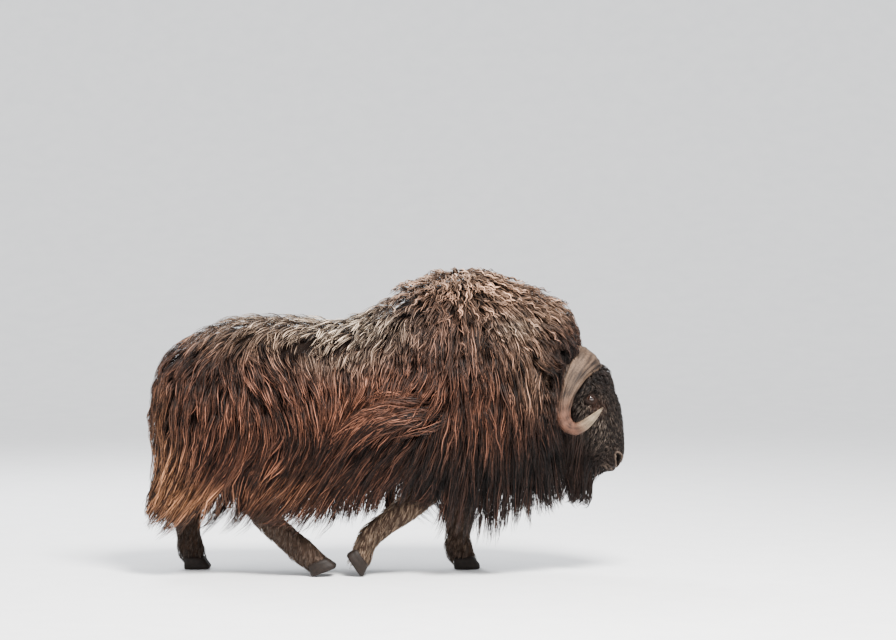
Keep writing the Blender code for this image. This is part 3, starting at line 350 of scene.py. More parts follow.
# The parts of the skin, as grids of rings

TRUNK_RINGS, TRUNK_SIDES = 170, 110
HEAD_SIDES = 180
LEG_RINGS, LEG_SIDES = 90, 56
EAR_RINGS, EAR_SPAN = 30, 26
EAR_WALL = 0.005
EAR_FACING = (0.75, 0.45, -0.15)
TAIL_RINGS, TAIL_SIDES = 14, 24


def trunk_grid():
    stations = np.linspace(TRUNK[0][0] + 0.012, TRUNK[-1][0], TRUNK_RINGS)
    slant, top, bottom, half, widest, roof = smooth(TRUNK, stations).T[..., None]
    turns = ring_turns(TRUNK_SIDES)[None]
    above = np.cos(turns) >= 0
    exponent = np.where(above, 2 / roof, 2 / BELLY_POWER)
    reach = np.where(above, top - WOOL_OF_BACK - widest, widest - bottom - WOOL)
    y = (half - WOOL) * power(np.sin(turns), exponent)
    z = widest + reach * power(np.cos(turns), exponent)
    x = stations[:, None] + slant * (z - SLANT_HEIGHT)
    grid = rounded(np.stack([x, y, z], axis=-1), np.array((-0.012, 0, 0)), False)
    return rounded(grid, np.array((0.03, 0, 0)), True)


# Swells and hollows of the head: along, front, out, radii in the same order, height
HEAD_FORMS = [
    # Brow over the eye, and the hollow round it
    (0.142, 0.03, 0.118, 0.03, 0.045, 0.05, 0.011), (0.181, 0.016, 0.118, 0.034, 0.036, 0.04, -0.011),
    (0.225, 0.055, 0.11, 0.04, 0.03, 0.05, -0.005),
    # Cheek and jaw
    (0.255, -0.045, 0.105, 0.08, 0.05, 0.06, 0.008), (0.36, -0.08, 0.08, 0.07, 0.03, 0.05, 0.005),
    # Bridge of the nose, and the hollow on each side of it
    (0.3, 0.12, 0.0, 0.12, 0.03, 0.03, 0.004), (0.4, 0.06, 0.075, 0.05, 0.025, 0.04, -0.005),
    # Wing of the nostril and upper lip
    (0.497, 0.04, 0.055, 0.022, 0.02, 0.03, 0.005), (0.515, -0.01, 0.07, 0.03, 0.02, 0.04, 0.004),
    # Chin
    (0.505, -0.095, 0.0, 0.03, 0.03, 0.04, 0.006),
]
# The nostril's comma: points along, front, out with the width there
NOSTRIL = [
    (0.526, 0.014, 0.044, 0.0095), (0.512, 0.022, 0.053, 0.0165), (0.494, 0.03, 0.06, 0.0165),
    (0.476, 0.03, 0.067, 0.0075),
]
NOSTRIL_DEPTH = 0.024
NOSTRIL_RIM = 0.0028
# The way that a nostril opens: front, out, along the muzzle
NOSTRIL_OPENS = (0.45, 0.78, 0.43)
LIP_GAP = 0.008


def line_distance(points, line):
    """The distance from each point to a line of points."""
    best = np.full(len(points), 1e9)
    for start, end in zip(line, line[1:]):
        way = end - start
        share = np.clip(((points - start) @ way) / max(way @ way, 1e-12), 0, 1)
        best = np.minimum(best, np.linalg.norm(start + share[:, None] * way - points, axis=1))
    return best


def comma_distance(points, side):
    """How far points are outside the nostril's rim, below 0 inside it, however deep they lie."""
    front, out, down = NOSTRIL_OPENS
    opens = unit(front * FACE_WAY + out * side * ACROSS + down * MUZZLE_WAY)
    best = np.full(len(points), 1e9)
    for start, end in zip(NOSTRIL, NOSTRIL[1:]):
        a, b = (in_head(along, f, side * y) for along, f, y, _ in (start, end))
        way = b - a
        share = np.clip(((points - a) @ way) / (way @ way), 0, 1)
        width = start[3] + (end[3] - start[3]) * share
        offset = points - a - share[:, None] * way
        depth = offset @ opens
        flat = np.linalg.norm(offset - depth[:, None] * opens, axis=1)
        best = np.minimum(best, np.where(np.abs(depth) < 0.035, flat, 1.0) - width)
    return best


def mouth_line(shift):
    """The mouth from corner to corner, or a line beside it."""
    rows = [(a, f + shift, y) for a, f, y in MOUTH]
    return np.array([in_head(*row) for row in rows] + [in_head(a, f, -y) for a, f, y in rows[-2::-1]])


MOUTH_LINE = mouth_line(0.0)
LIP_LINES = (mouth_line(LIP_GAP), mouth_line(-LIP_GAP))


def grid_normals(grid):
    """Outward normals of a closed tube of rings."""
    around = np.roll(grid, -1, axis=1) - np.roll(grid, 1, axis=1)
    normals = unit(np.cross(around, np.gradient(grid, axis=0)))
    inwards = (normals * (grid - grid.mean(axis=1, keepdims=True))).sum() < 0
    return -normals if inwards else normals


def head_grid():
    """The head, with its rings closest together at the eyes and the muzzle."""
    stretches = ((-0.050, 0.130, 0.006), (0.130, 0.235, 0.003), (0.235, 0.430, 0.005), (0.430, 0.543, 0.0018))
    stations = np.concatenate([*(np.arange(*stretch) for stretch in stretches), [0.543]])
    turns = ring_turns(HEAD_SIDES)[None]
    front, back, half, widest, face = smooth(HEAD, stations).T[..., None]
    ahead = np.cos(turns) >= 0
    exponent = np.where(ahead, 2 / face, 2 / THROAT_POWER)
    reach = np.where(ahead, front - widest, widest - back)
    y = half * power(np.sin(turns), exponent)
    f = widest + reach * power(np.cos(turns), exponent)
    grid = rounded(in_head(stations[:, None] + 0 * y, f, y), MUZZLE_WAY * 0.014, True, 14)
    grid = rounded(grid, -MUZZLE_WAY * 0.030, False)
    normals = grid_normals(grid).reshape(-1, 3)
    points = grid.reshape(-1, 3)
    height = HEAD_FUR * (0.8 * step(0.40, 0.50, head_place(points)[0]) - 1)
    ways = np.array([MUZZLE_WAY, FACE_WAY, ACROSS]).T
    for along, front, out, *radii, swell in HEAD_FORMS:
        for side in (RIGHT, LEFT) if out else (RIGHT,):
            local = (points - in_head(along, front, side * out)) @ ways
            height += swell * np.exp(-2 * ((local / np.array(radii)) ** 2).sum(axis=1))
    for lip in LIP_LINES:
        height += 0.0035 * bell(line_distance(points, lip), 0, 0.007)
    height -= 0.008 * bell(line_distance(points, MOUTH_LINE), 0, 0.0032)
    for side in (RIGHT, LEFT):
        away = comma_distance(points, side)
        height += NOSTRIL_RIM * bell(away, 0.004, 0.0045)
        height -= NOSTRIL_DEPTH * (1 - step(-0.004, 0.001, away))
    return (points + normals * height[:, None]).reshape(grid.shape)


def foot_ways(leg):
    """Forward and up for one foot."""
    pitch = math.radians(LEGS[leg]["pitch"])
    return np.array((math.cos(pitch), 0, math.sin(pitch))), np.array((-math.sin(pitch), 0, math.cos(pitch)))


def foot_point(leg, x, y, z):
    """Points of a foot's own frame, in the body's frame."""
    fore, up = foot_ways(leg)
    x, y, z = (values[..., None] for values in np.broadcast_arrays(x, y, z))
    return np.array(LEGS[leg]["sole"]) * (1, LEGS[leg]["side"], 1) + x * fore + y * ACROSS + z * up


def leg_grid(leg):
    rows = [(x, LEGS[leg]["side"] * y, z, a, b) for x, y, z, a, b in LEGS[leg]["path"]]
    rows.append((*foot_point(leg, -CORONET_BACK, 0.0, CORONET_HEIGHT - 0.004), *CORONET_HALF))
    values = smooth_rows(rows, LEG_RINGS)
    centres = values[:, :3]
    down = unit(np.gradient(centres, axis=0))
    down[0] = (0, 0, -1)
    down[-1] = -foot_ways(leg)[1]
    fore = unit(np.cross(ACROSS, -down))
    fore[fore[:, 0] < 0] *= -1
    turns = ring_turns(LEG_SIDES)
    length, breadth = (values[:, 3:] - LEG_FUR).T[..., None, None]
    # A tendon's hollow on each side, in front of the heel tendon
    hollow = (1 - 0.10 * bell(turns, 0.70 * math.pi, 0.35)) * (1 - 0.10 * bell(turns, 1.30 * math.pi, 0.35))
    along = fore[:, None] * length * (power(np.cos(turns), 0.9) * hollow)[None, :, None]
    aside = ACROSS * breadth * (power(np.sin(turns), 0.9) * hollow)[None, :, None]
    return centres[:, None] + along + aside


def ear_ends(side):
    return np.array((EAR_ROOT, EAR_TIP)) * (1, side, 1)


def ear_grid(side):
    root, tip = ear_ends(side)
    along = unit(tip - root)
    facing = np.array(EAR_FACING) * (1, side, 1)
    facing = unit(facing - along * (facing @ along))
    across = np.cross(along, facing)
    shares = np.linspace(-0.15, 1, EAR_RINGS)
    half, cup = smooth(EAR_ROWS, shares).T
    t = np.linspace(-1, 1, EAR_SPAN)
    edge = root + shares[:, None, None] * (tip - root) + across * (half[:, None] * t)[..., None]
    bow = ((1 - t * t) * cup[:, None] * 2)[..., None]
    wall = (EAR_WALL * np.sqrt(np.maximum(1 - t**4, 0.02)) / 2)[None, :, None]
    back = edge - facing * (bow + wall)
    front = edge - facing * (bow * 0.9 - wall)
    return np.concatenate([back, front[:, ::-1]], axis=1)


def tail_grid():
    shares = np.linspace(0, 1, TAIL_RINGS)[:, None, None]
    turns = ring_turns(TAIL_SIDES)[None, :, None]
    centre = TAIL_ROOT + np.array((-0.030, 0, 0)) * shares**0.6 + np.array((0, 0, -0.100)) * shares
    tilt = unit(np.array((-0.5, 0, 0.85)))
    aside = ACROSS * (0.030 - 0.012 * shares) * np.cos(turns)
    return centre + aside + tilt * (0.026 - 0.010 * shares) * np.sin(turns)


TRUNK_SKIN = trunk_grid()
HEAD_SKIN = head_grid()
TAIL_SKIN = tail_grid()
LEG_SKINS = {leg: leg_grid(leg) for leg in LEGS}
EAR_SKINS = {side: ear_grid(side) for side, _ in SIDES}

# Eyes

# The opening between the lids: half length, and its rise and fall at the middle
LID_HALF = 0.0185
LID_RISE = 0.0112
LID_FALL = 0.0086
LID_TURNS = 96
# The share of the ball's radius over which the lids follow the ball
LID_ON_BALL = 0.80
# The lids' section outwards from the opening: place out, height over the ball, then the underside
LID_SECTION = [
    (0.0, -0.0015), (-0.0004, 0.0006), (0.0004, 0.0021), (0.0022, 0.0028), (0.0046, 0.0024),
    (0.0066, 0.0014), (0.0086, 0.0024), (0.0115, 0.004), (0.015, 0.0042), (0.019, 0.003), (0.024, -0.001),
    (0.026, -0.008), (0.018, -0.011), (0.008, -0.006),
]


def eye_ways(side):
    """Forward, up and out for one eye."""
    out = unit(np.array((0.16, side * 0.98, 0.06)))
    forward = unit(np.cross(np.cross(out, (1.0, 0.0, -0.16)), out))
    return forward, np.cross(forward, out) * -side, out


def lid_object(side):
    """Both lids of one eye, as one ring round the opening."""
    forward, up, out = eye_ways(side)
    up = up * math.copysign(1, up[2])
    turns = ring_turns(LID_TURNS)
    x = LID_HALF * np.cos(turns)
    y = np.where(np.sin(turns) > 0, LID_RISE, LID_FALL) * power(np.sin(turns), 1.25)
    outward = unit(np.stack([np.cos(turns) * 0.8, np.sin(turns)], axis=-1))
    near = EYE_RADIUS * LID_ON_BALL
    rings = []
    for away, height in LID_SECTION:
        px, py = x + outward[:, 0] * away, y + outward[:, 1] * away
        flat = np.hypot(px, py)
        ball = np.sqrt(EYE_RADIUS**2 - np.minimum(flat, near) ** 2)
        depth = ball - 0.35 * np.maximum(flat - near, 0) + height
        rings.append(eye_at(side) + px[:, None] * forward + py[:, None] * up + depth[:, None] * out)
    grid = np.array(rings).transpose(1, 0, 2)
    faces = ring_quads(*grid.shape[:2], closed=True)
    return turn_outwards(mesh_object("lids", grid.reshape(-1, 3), faces))


def ball_grid(side, radius, bulge=0.0, rings=40, sides=48):
    """A ball at an eye, with a swelling where it looks out."""
    forward, up, out = eye_ways(side)
    polar = np.linspace(0.02, math.pi - 0.02, rings)[:, None, None]
    turns = ring_turns(sides)[None, :, None]
    reach = radius + bulge * np.exp(-((polar / 0.55) ** 4))
    flat = forward * np.cos(turns) + up * np.sin(turns)
    return eye_at(side) + reach * (flat * np.sin(polar) + out * np.cos(polar))


def build_skin():
    """The one skin, with sockets for the eyes."""
    skin = tube_object("skin", TRUNK_SKIN)
    grids = [HEAD_SKIN, TAIL_SKIN, *LEG_SKINS.values(), *EAR_SKINS.values()]
    combine(skin, [tube_object("part", grid) for grid in grids], "UNION")
    sockets = [tube_object("socket", ball_grid(side, EYE_RADIUS + 0.0008)) for side, _ in SIDES]
    combine(skin, [lid_object(side) for side, _ in SIDES], "UNION")
    combine(skin, sockets, "DIFFERENCE")
    skin.data.shade_smooth()
    return skin


# Markings: spots in side view of x, z, their spreads, and the strength
MARKINGS = {
    "frost": [
        (-0.22, 1.17, 0.26, 0.12, 1.0), (-0.6, 1.22, 0.26, 0.08, 0.5), (0.12, 1.42, 0.22, 0.07, 0.15),
        (-0.18, 1.03, 0.16, 0.09, 0.25), (0.42, 1.44, 0.16, 0.06, 0.15), (0.62, 1.16, 0.1, 0.06, 0.3),
    ],
    "tan": [
        (0.55, 1.34, 0.24, 0.12, 0.8), (0.8, 1.24, 0.12, 0.08, 0.8), (0.68, 1.06, 0.12, 0.12, 0.45),
        (0.45, 1.1, 0.16, 0.14, 0.15), (0.7, 0.88, 0.1, 0.12, 0.45), (-0.6, 1.14, 0.36, 0.1, 0.65),
        (0.15, 1.36, 0.2, 0.08, 0.4),
    ],
    "rust": [
        (-0.6, 0.62, 0.42, 0.26, 0.9), (-0.1, 0.8, 0.26, 0.2, 0.9), (-0.3, 0.4, 0.5, 0.14, 0.7),
        (0.2, 0.8, 0.2, 0.12, 0.7), (0.5, 0.7, 0.2, 0.2, 0.6),
    ],
    "blond": [
        (-1.04, 0.46, 0.12, 0.16, 0.95), (-0.9, 0.34, 0.2, 0.08, 0.65), (-1.04, 0.7, 0.06, 0.16, 0.4),
        (-0.45, 0.4, 0.2, 0.1, 0.25),
    ],
    "dark": [
        (0.72, 0.45, 0.2, 0.2, 0.8), (0.92, 0.55, 0.16, 0.26, 1.0), (0.45, 0.38, 0.22, 0.16, 0.65),
        (0.87, 1.0, 0.08, 0.13, 1.0), (0.78, 0.86, 0.06, 0.16, 0.5), (0.04, 0.72, 0.14, 0.05, 0.6),
        (0.2, 0.45, 0.16, 0.14, 0.6), (-0.4, 0.62, 0.1, 0.14, 0.35), (-0.1, 0.42, 0.3, 0.08, 0.4),
    ],
}


def marking(name, points):
    """The strength of a marking at points of the building frame."""
    left = np.ones(len(points))
    for x, z, spread_x, spread_z, strength in MARKINGS[name]:
        left *= 1 - strength * bell(points[:, 0], x, spread_x) * bell(points[:, 2], z, spread_z)
    return 1 - left


# Lie of the coat in side view: x, z, degrees forward of straight down, spread. Hair at -90 runs to the rear
LIE_BOTH = [
    (-1.06, 0.62, -4, 0.1), (-1.0, 0.9, -14, 0.12), (0.32, 1.19, -6, 0.12), (0.5, 1.1, 8, 0.12),
    (0.55, 0.8, 0, 0.14), (0.55, 1.3, 40, 0.1), (0.74, 1.18, 44, 0.1), (0.72, 1.0, 14, 0.1),
    (0.76, 0.8, 4, 0.12), (0.9, 0.44, 14, 0.1), (0.86, 0.62, 18, 0.06),
]
LIE_RIGHT = [
    (-0.86, 0.95, -10, 0.12), (-1.04, 0.42, -24, 0.1), (-0.86, 0.7, -6, 0.12), (-0.88, 0.46, -34, 0.1),
    (-0.8, 1.14, -40, 0.1), (-0.62, 1.16, 4, 0.12), (-0.55, 1.0, 34, 0.11), (-0.42, 0.84, 36, 0.1),
    (-0.34, 0.74, 10, 0.06), (-0.67, 0.81, 6, 0.12), (-0.42, 0.6, -32, 0.11), (-0.6, 0.48, -36, 0.12),
    (-0.72, 0.34, -46, 0.12), (-0.46, 0.34, -34, 0.12), (-0.25, 1.02, 4, 0.14), (-0.11, 1.12, 0, 0.14),
    (-0.18, 0.9, 0, 0.09), (-0.2, 0.62, -34, 0.1), (-0.22, 0.34, -28, 0.12), (0.06, 1.02, -6, 0.12),
    (0.05, 0.89, -16, 0.07), (0.2, 0.87, -34, 0.06), (0.22, 0.81, -66, 0.055), (0.08, 0.8, -82, 0.06),
    (-0.06, 0.76, -56, 0.06), (0.08, 0.62, -38, 0.1), (0.1, 0.42, -34, 0.12), (0.22, 1.02, -10, 0.12),
    (0.36, 0.84, -6, 0.09), (0.32, 0.62, -14, 0.1), (0.3, 0.39, -8, 0.1), (0.5, 0.4, -4, 0.14),
    (0.72, 0.48, 0, 0.14),
]
# On the left no foreleg swings back, so the hair hangs straighter
LIE_LEFT = [
    (-1.04, 0.42, -20, 0.1), (-0.86, 0.7, -4, 0.14), (-0.88, 0.46, -24, 0.12), (-0.8, 1.14, -36, 0.1),
    (-0.62, 1.16, 2, 0.12), (-0.52, 1.0, 24, 0.12), (-0.4, 0.82, 20, 0.12), (-0.67, 0.81, 0, 0.12),
    (-0.5, 0.5, -18, 0.16), (-0.72, 0.34, -28, 0.12), (-0.2, 1.02, 2, 0.16), (-0.2, 0.6, -12, 0.18),
    (0.08, 0.95, -6, 0.16), (0.08, 0.55, -10, 0.18), (0.34, 0.72, -4, 0.18), (0.34, 0.39, 0, 0.14),
    (0.55, 0.4, 0, 0.16),
]
# The lower edge of the long hair: x, z
HEM = [
    (-1.12, 0.4), (-1.05, 0.24), (-0.97, 0.19), (-0.86, 0.225), (-0.77, 0.19), (-0.67, 0.19),
    (-0.56, 0.265), (-0.39, 0.245), (-0.27, 0.2), (-0.18, 0.225), (-0.1, 0.25), (0.02, 0.26), (0.25, 0.25),
    (0.34, 0.23), (0.42, 0.2), (0.5, 0.18), (0.56, 0.23), (0.7, 0.29), (0.84, 0.34), (0.93, 0.32),
    (1.0, 0.31),
]
# On the right the foreleg swings back and parts the hair: x, z
HEM_RIGHT = [
    (-0.18, 0.225), (-0.1, 0.26), (0.0, 0.285), (0.08, 0.32), (0.18, 0.375), (0.23, 0.385), (0.28, 0.25),
]
# Hair that hangs farther to the rear than this is drawn in
REAR_END = -1.095


def lie_at(points):
    """The way of the hair at points of the trunk, before it is laid along the skin."""
    angles = []
    for table in (LIE_RIGHT, LIE_LEFT):
        x, z, degrees, spread = np.array(LIE_BOTH + table).T
        away = (points[:, 0, None] - x) ** 2 + (points[:, 2, None] - z) ** 2
        near = np.exp(-away / (2 * spread**2)) / spread + 1e-9
        angles.append((near * degrees).sum(axis=1) / near.sum(axis=1))
    angle = np.radians(np.where(points[:, 1] < 0, *angles))
    return np.stack([np.sin(angle), 0 * angle, -np.cos(angle)], axis=1)


def hem_at(points):
    x = points[:, 0]
    parted = (points[:, 1] < 0) & (x > HEM_RIGHT[0][0]) & (x < HEM_RIGHT[-1][0])
    return np.where(parted, np.interp(x, *np.array(HEM_RIGHT).T), np.interp(x, *np.array(HEM).T))


# Tufts

Locks = namedtuple("Locks", "paths outs places lengths")
Strands = namedtuple("Strands", "centres outs widths tints places")
MOST_TRIANGLES = 190_000
# The side of the patch that each strand takes of the map for baking
PATCH = 0.003
CURL_PITCH = 0.042
# Shares of a strand's width that its three-sided section has across and upright
ACROSS_SHARE, UPRIGHT_SHARE = 1.15, 0.55
# A lock's strands spread this much less upwards than aside
STRAND_LIFT = 0.4


def block_order(rows, columns):
    """The cells of a grid in the order of nested blocks, so that neighbours in the list lie close by."""
    row, column = np.divmod(np.arange(rows * columns), columns)
    code = np.zeros(rows * columns, int)
    for bit in range(9):
        code |= ((row >> bit) & 1) << (2 * bit + 1) | ((column >> bit) & 1) << (2 * bit)
    return np.argsort(code)


def cell_sample(grid, count, rng, keep):
    """Random roots on a grid, as many in each cell as its area and `keep` give: points, normals, places."""
    rows, columns = grid.shape[0] - 1, grid.shape[1]
    after = np.roll(grid, -1, axis=1)
    a, b, c, d = (corner.reshape(-1, 3) for corner in (grid[:-1], grid[1:], after[1:], after[:-1]))
    normals = np.cross(c - a, d - b)
    area = np.linalg.norm(normals, axis=1) / 2
    normals = unit(normals)
    middle = (a + b + c + d) / 4
    if (normals * (middle - np.repeat(grid.mean(axis=1)[:-1], columns, axis=0))).sum() < 0:
        normals = -normals
    order = block_order(rows, columns)
    filled = np.cumsum((area * keep(middle, normals))[order])
    marks = (np.arange(count) + rng.random(count)) / count * filled[-1]
    cells = order[np.searchsorted(filled, marks)]
    s, t = rng.random((2, count, 1))
    points = (a[cells] * (1 - s) + b[cells] * s) * (1 - t) + (d[cells] * (1 - s) + c[cells] * s) * t
    places = np.stack([(cells // columns + s[:, 0]) / rows, (cells % columns + t[:, 0]) / columns], axis=1)
    return points, normals[cells], places


def nearest(tree, points):
    """The nearest spots of a surface and the normals there."""
    found = [tree.find_nearest(Vector(point)) for point in points]
    return np.array([spot for spot, *_ in found]), np.array([normal for _, normal, *_ in found])


def smoothed(paths, rounds=2):
    """Paths without kinks; their ends stay."""
    for _ in range(rounds):
        inner = 0.25 * paths[:, :-2] + 0.5 * paths[:, 1:-1] + 0.25 * paths[:, 2:]
        paths = np.concatenate([paths[:, :1], inner, paths[:, -1:]], axis=1)
    return paths


def clear_of_eyes(paths):
    """Which locks leave both eyes open."""
    clear = np.ones(len(paths), bool)
    for side in (RIGHT, LEFT):
        away = paths - (eye_at(side) + eye_ways(side)[2] * 0.012)
        clear &= np.linalg.norm(away * (0.85, 1.0, 1.15), axis=2).min(axis=1) > 0.0225
    return clear


def grow(coat, sample, lie, lengths, layers, segments, hem=None, hang=0.25, stray=0.16, base=0.2):
    """Locks that leave the skin, follow the lie and keep their height over the skin."""
    way_at, depth_at = lie
    roots, _, places = sample
    spots, outs = nearest(coat.surface, roots)
    bare = np.linalg.norm(spots - roots, axis=1) < 0.006
    point, outs, places, lengths, layers = (rows[bare] for rows in (spots, outs, places, lengths, layers))
    turn = coat.rng.normal(0, stray, (len(point), 1))
    point = point + outs * (depth_at(point, outs) * layers * base)[:, None]
    paths, ways_out = [point - outs * 0.003], [outs]
    way = tangent(way_at(point, outs), outs)
    stride = (lengths / segments)[:, None]
    for i in range(1, segments + 1):
        wish = way_at(point, outs)
        free = outs[:, 2:3] < -hang
        laid = np.where(free, unit(wish), tangent(wish, outs))
        laid = unit(laid + turn * np.cross(laid, outs))
        way = unit(0.6 * way + 0.6 * laid)
        point = point + way * stride
        if hem is not None:
            point[:, 2] += np.clip(hem(point) - point[:, 2], 0, 0.03)
            point[:, 0] += 0.8 * np.maximum(REAR_END - point[:, 0], 0)
        spots, outs = nearest(coat.surface, point)
        height = dot(point - spots, outs)
        rise = base + (1 - base) * step(-0.12, 0.42, i / segments)
        wanted = (depth_at(spots, outs) * layers * rise)[:, None]
        move = np.where(height < 0, wanted - height, np.clip(wanted - height, -0.6 * stride, 1.2 * stride))
        point = point + outs * np.where(free & (height > wanted), 0, move)
        paths.append(point)
        ways_out.append(unit(0.5 * ways_out[-1] + 0.5 * outs))
    paths, ways_out = smoothed(np.stack(paths, axis=1)), unit(smoothed(np.stack(ways_out, axis=1)))
    clear = clear_of_eyes(paths)
    return Locks(paths[clear], ways_out[clear], places[clear], lengths[clear])


def along_paths(values, shares):
    """Values of each lock at shares of its length: values (locks, points, 3), shares (locks, samples)."""
    last = values.shape[1] - 1
    at = np.clip(shares, 0, 1) * last
    low = np.minimum(at.astype(int), last - 1)
    t = (at - low)[..., None]
    rows = np.arange(len(values))[:, None]
    return values[rows, low] * (1 - t) + values[rows, low + 1] * t


def split(rng, locks, each, points, spread, clump, wave, width, shortest=0.6, vary=0.95, curl=0.0):
    """Strands of every lock; wave is its size and length."""
    pick = np.repeat(np.arange(len(locks.paths)), each)
    count = len(pick)
    shares = np.linspace(0, 1, points)[None] * rng.uniform(shortest, 1.0, count)[:, None]
    centres = along_paths(locks.paths[pick], shares)
    outs = unit(along_paths(locks.outs[pick], shares))
    way = unit(np.gradient(centres, axis=1))
    aside = unit(np.cross(way, outs))
    reach = np.sqrt(rng.random(count)) * spread
    angle = rng.random(count) * TURN
    pinch = 1 - clump * shares**1.2
    off_aside = (reach * np.cos(angle))[:, None] * pinch
    off_out = (reach * np.sin(angle) * STRAND_LIFT)[:, None] * pinch
    arc = shares * locks.lengths[pick][:, None]
    phase = rng.random((len(locks.paths), 2))[pick] * TURN
    phase = phase + rng.normal(0, 0.7, (count, 2))
    size = wave[0] * rng.uniform(0.4, 1.5, (count, 1)) * step(0, 0.35, shares)
    turns = TURN * arc / (wave[1] * rng.uniform(0.75, 1.35, (count, 1)))
    off_aside = off_aside + size * np.sin(turns + phase[:, :1])
    off_out = off_out + 0.5 * size * np.sin(turns / 0.8 + phase[:, 1:])
    radius = curl * step(0.1, 0.5, shares)
    spin = TURN * arc / CURL_PITCH + phase[:, :1]
    off_aside = off_aside + radius * np.cos(spin)
    off_out = off_out + radius * np.sin(spin)
    centres = centres + aside * off_aside[..., None] + np.cross(aside, way) * off_out[..., None]
    t = np.linspace(0, 1, points)[None]
    taper = (0.55 + 0.45 * step(0, 0.25, t)) * (1 - t**2.2) ** 0.8
    widths = width * rng.uniform(0.65, 1.35, (count, 1)) * taper
    tints = rng.normal(0, 0.25, len(locks.paths))[pick]
    tints = np.minimum(np.exp(tints + rng.normal(-0.3 * vary, vary, count)), 5.0)
    # Strands that lie higher in the lock are a little lighter and those under them darker: painted light and
    # shade
    tints = tints * np.exp(0.18 * reach * np.sin(angle) / spread)
    return Strands(centres, outs, widths, tints, locks.places[pick])


def strand_faces(rings):
    """Triangles of one strand of three-sided rings with a tip."""
    faces = [(0, 2, 1)]
    for a in range(3 * rings - 3):
        b = a + 1 if a % 3 < 2 else a - 2
        faces += [(a, b, b + 3), (a, b + 3, a + 3)]
    base, tip = 3 * rings - 3, 3 * rings
    faces += [(base + j, base + (j + 1) % 3, tip) for j in range(3)]
    return np.array(faces)


def strand_points(strands):
    """The vertices of each strand, shaped (strands, vertices, 3)."""
    count = len(strands.centres)
    way = unit(np.gradient(strands.centres, axis=1))
    aside = unit(np.cross(way, strands.outs))
    out = np.cross(aside, way)
    lean = 0.5 * np.sin(strands.tints * 40)[:, None, None]
    across = (aside * np.cos(lean) + out * np.sin(lean))[:, :-1, None] * ACROSS_SHARE
    upright = (out * np.cos(lean) - aside * np.sin(lean))[:, :-1, None] * UPRIGHT_SHARE
    corners = np.radians((90, 210, 330))[:, None]
    half = strands.widths[:, :-1, None, None] / 2
    rings = strands.centres[:, :-1, None] + half * (across * np.cos(corners) + upright * np.sin(corners))
    vertices = np.concatenate([rings.reshape(count, -1, 3), strands.centres[:, -1:]], axis=1)
    vertices[..., 2] = np.maximum(vertices[..., 2], 0.001)
    return vertices


def strand_map(places, shares):
    """The places of the vertices on the map for baking, one small patch for each strand."""
    low, high = places.min(axis=0), places.max(axis=0)
    places = (places - low) / np.maximum(high - low, 1e-6) * (1 - PATCH)
    across = np.append(np.tile((0.15, 0.5, 0.85), len(shares) // 3), 0.5)
    return (places[:, None] + np.stack([across, 0.1 + 0.8 * shares], axis=1) * PATCH).reshape(-1, 2)


def tuft_object(name, strands, pelt, material):
    """One piece of joined strands, with colour, share of the way to the tip and the map for baking."""
    vertices = strand_points(strands)
    count, each, _ = vertices.shape
    vertices = vertices.reshape(-1, 3)
    rings = each // 3
    faces = (strand_faces(rings)[None] + (np.arange(count) * each)[:, None, None]).ravel()
    mesh = bpy.data.meshes.new(name)
    mesh.vertices.add(len(vertices))
    mesh.vertices.foreach_set("co", (vertices + SHIFT).astype(np.float32).ravel())
    mesh.loops.add(len(faces))
    mesh.loops.foreach_set("vertex_index", faces.astype(np.int32))
    mesh.polygons.add(len(faces) // 3)
    mesh.polygons.foreach_set("loop_start", np.arange(0, len(faces), 3, dtype=np.int32))
    mesh.update()
    mesh.shade_smooth()
    shares = np.append(np.repeat(np.arange(rings) / rings, 3), 1.0)
    places = strand_map(strands.places, shares)[faces]
    mesh.uv_layers.new(name="OFBake").uv.foreach_set("vector", places.astype(np.float32).ravel())
    shares = np.tile(shares, count)
    obj = place(name, mesh)
    set_colour(obj, pelt(vertices, shares, np.repeat(strands.tints, each)), material)
    along = mesh.attributes.new("along", "FLOAT", "POINT")
    along.data.foreach_set("value", shares.astype(np.float32))
    return obj


def tuft_pieces(name, strands, pelt, material):
    """As many pieces as keep each under the largest count of triangles, side by side along the body."""
    triangles = len(strand_faces(strands.centres.shape[1] - 1)) * len(strands.tints)
    parts = math.ceil(triangles / MOST_TRIANGLES)
    order = np.argsort(strands.places[:, 0], kind="stable")
    for number, chosen in enumerate(np.array_split(order, parts), start=1):
        some = Strands(*(rows[chosen] for rows in strands))
        piece = tuft_object(f"{name}_{number}" if parts > 1 else name, some, pelt, material)
        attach(piece, "root")


# Colours


def linear(*rgb):
    """A colour of 0 to 255 as the shader takes it."""
    share = np.array(rgb, float) / 255
    return np.where(share <= 0.04045, share / 12.92, ((share + 0.055) / 1.055) ** 2.4)


# The share of the light that the palest hair of these colours returns, beside the colours as seen
PELT_SHARE = 0.29
# How much darker the lowest hair is than that of the back
LOW_DARK = 0.56
BROWN = linear(100, 69, 56)
MARK_COLOURS = {
    "rust": linear(155, 100, 76),
    "tan": linear(190, 150, 122),
    "blond": linear(222, 158, 112),
    "frost": linear(255, 230, 200),
    "dark": linear(50, 37, 32),
}
FACE_DARK = linear(54, 42, 37)
FACE_PALE = linear(150, 134, 120)
FACE_RED = linear(104, 68, 52)
LIP_PALE = linear(196, 170, 150)
BEARD = linear(60, 43, 36)
LEG_DARK = linear(100, 78, 65)
LEG_MIDDLE = linear(140, 116, 100)
LEG_COLOURS = {
    "hind_leg_left": linear(104, 86, 74),
    "hind_leg_right": LEG_MIDDLE,
    "fore_leg_left": LEG_MIDDLE,
    "fore_leg_right": linear(186, 156, 130),
}
EAR_TAN = linear(104, 80, 64)
# Painted shade for the inside of the nostrils
NOSTRIL_PAINTED_SHADE = linear(6, 4, 4)
LID_DARK = linear(40, 30, 26) * 0.8
# Painted shade for the crease of the mouth
MOUTH_PAINTED_SHADE = linear(22, 16, 15)


def mixed(base, colour, share):
    share = np.clip(share, 0, 1)[:, None]
    return base * (1 - share) + colour * share


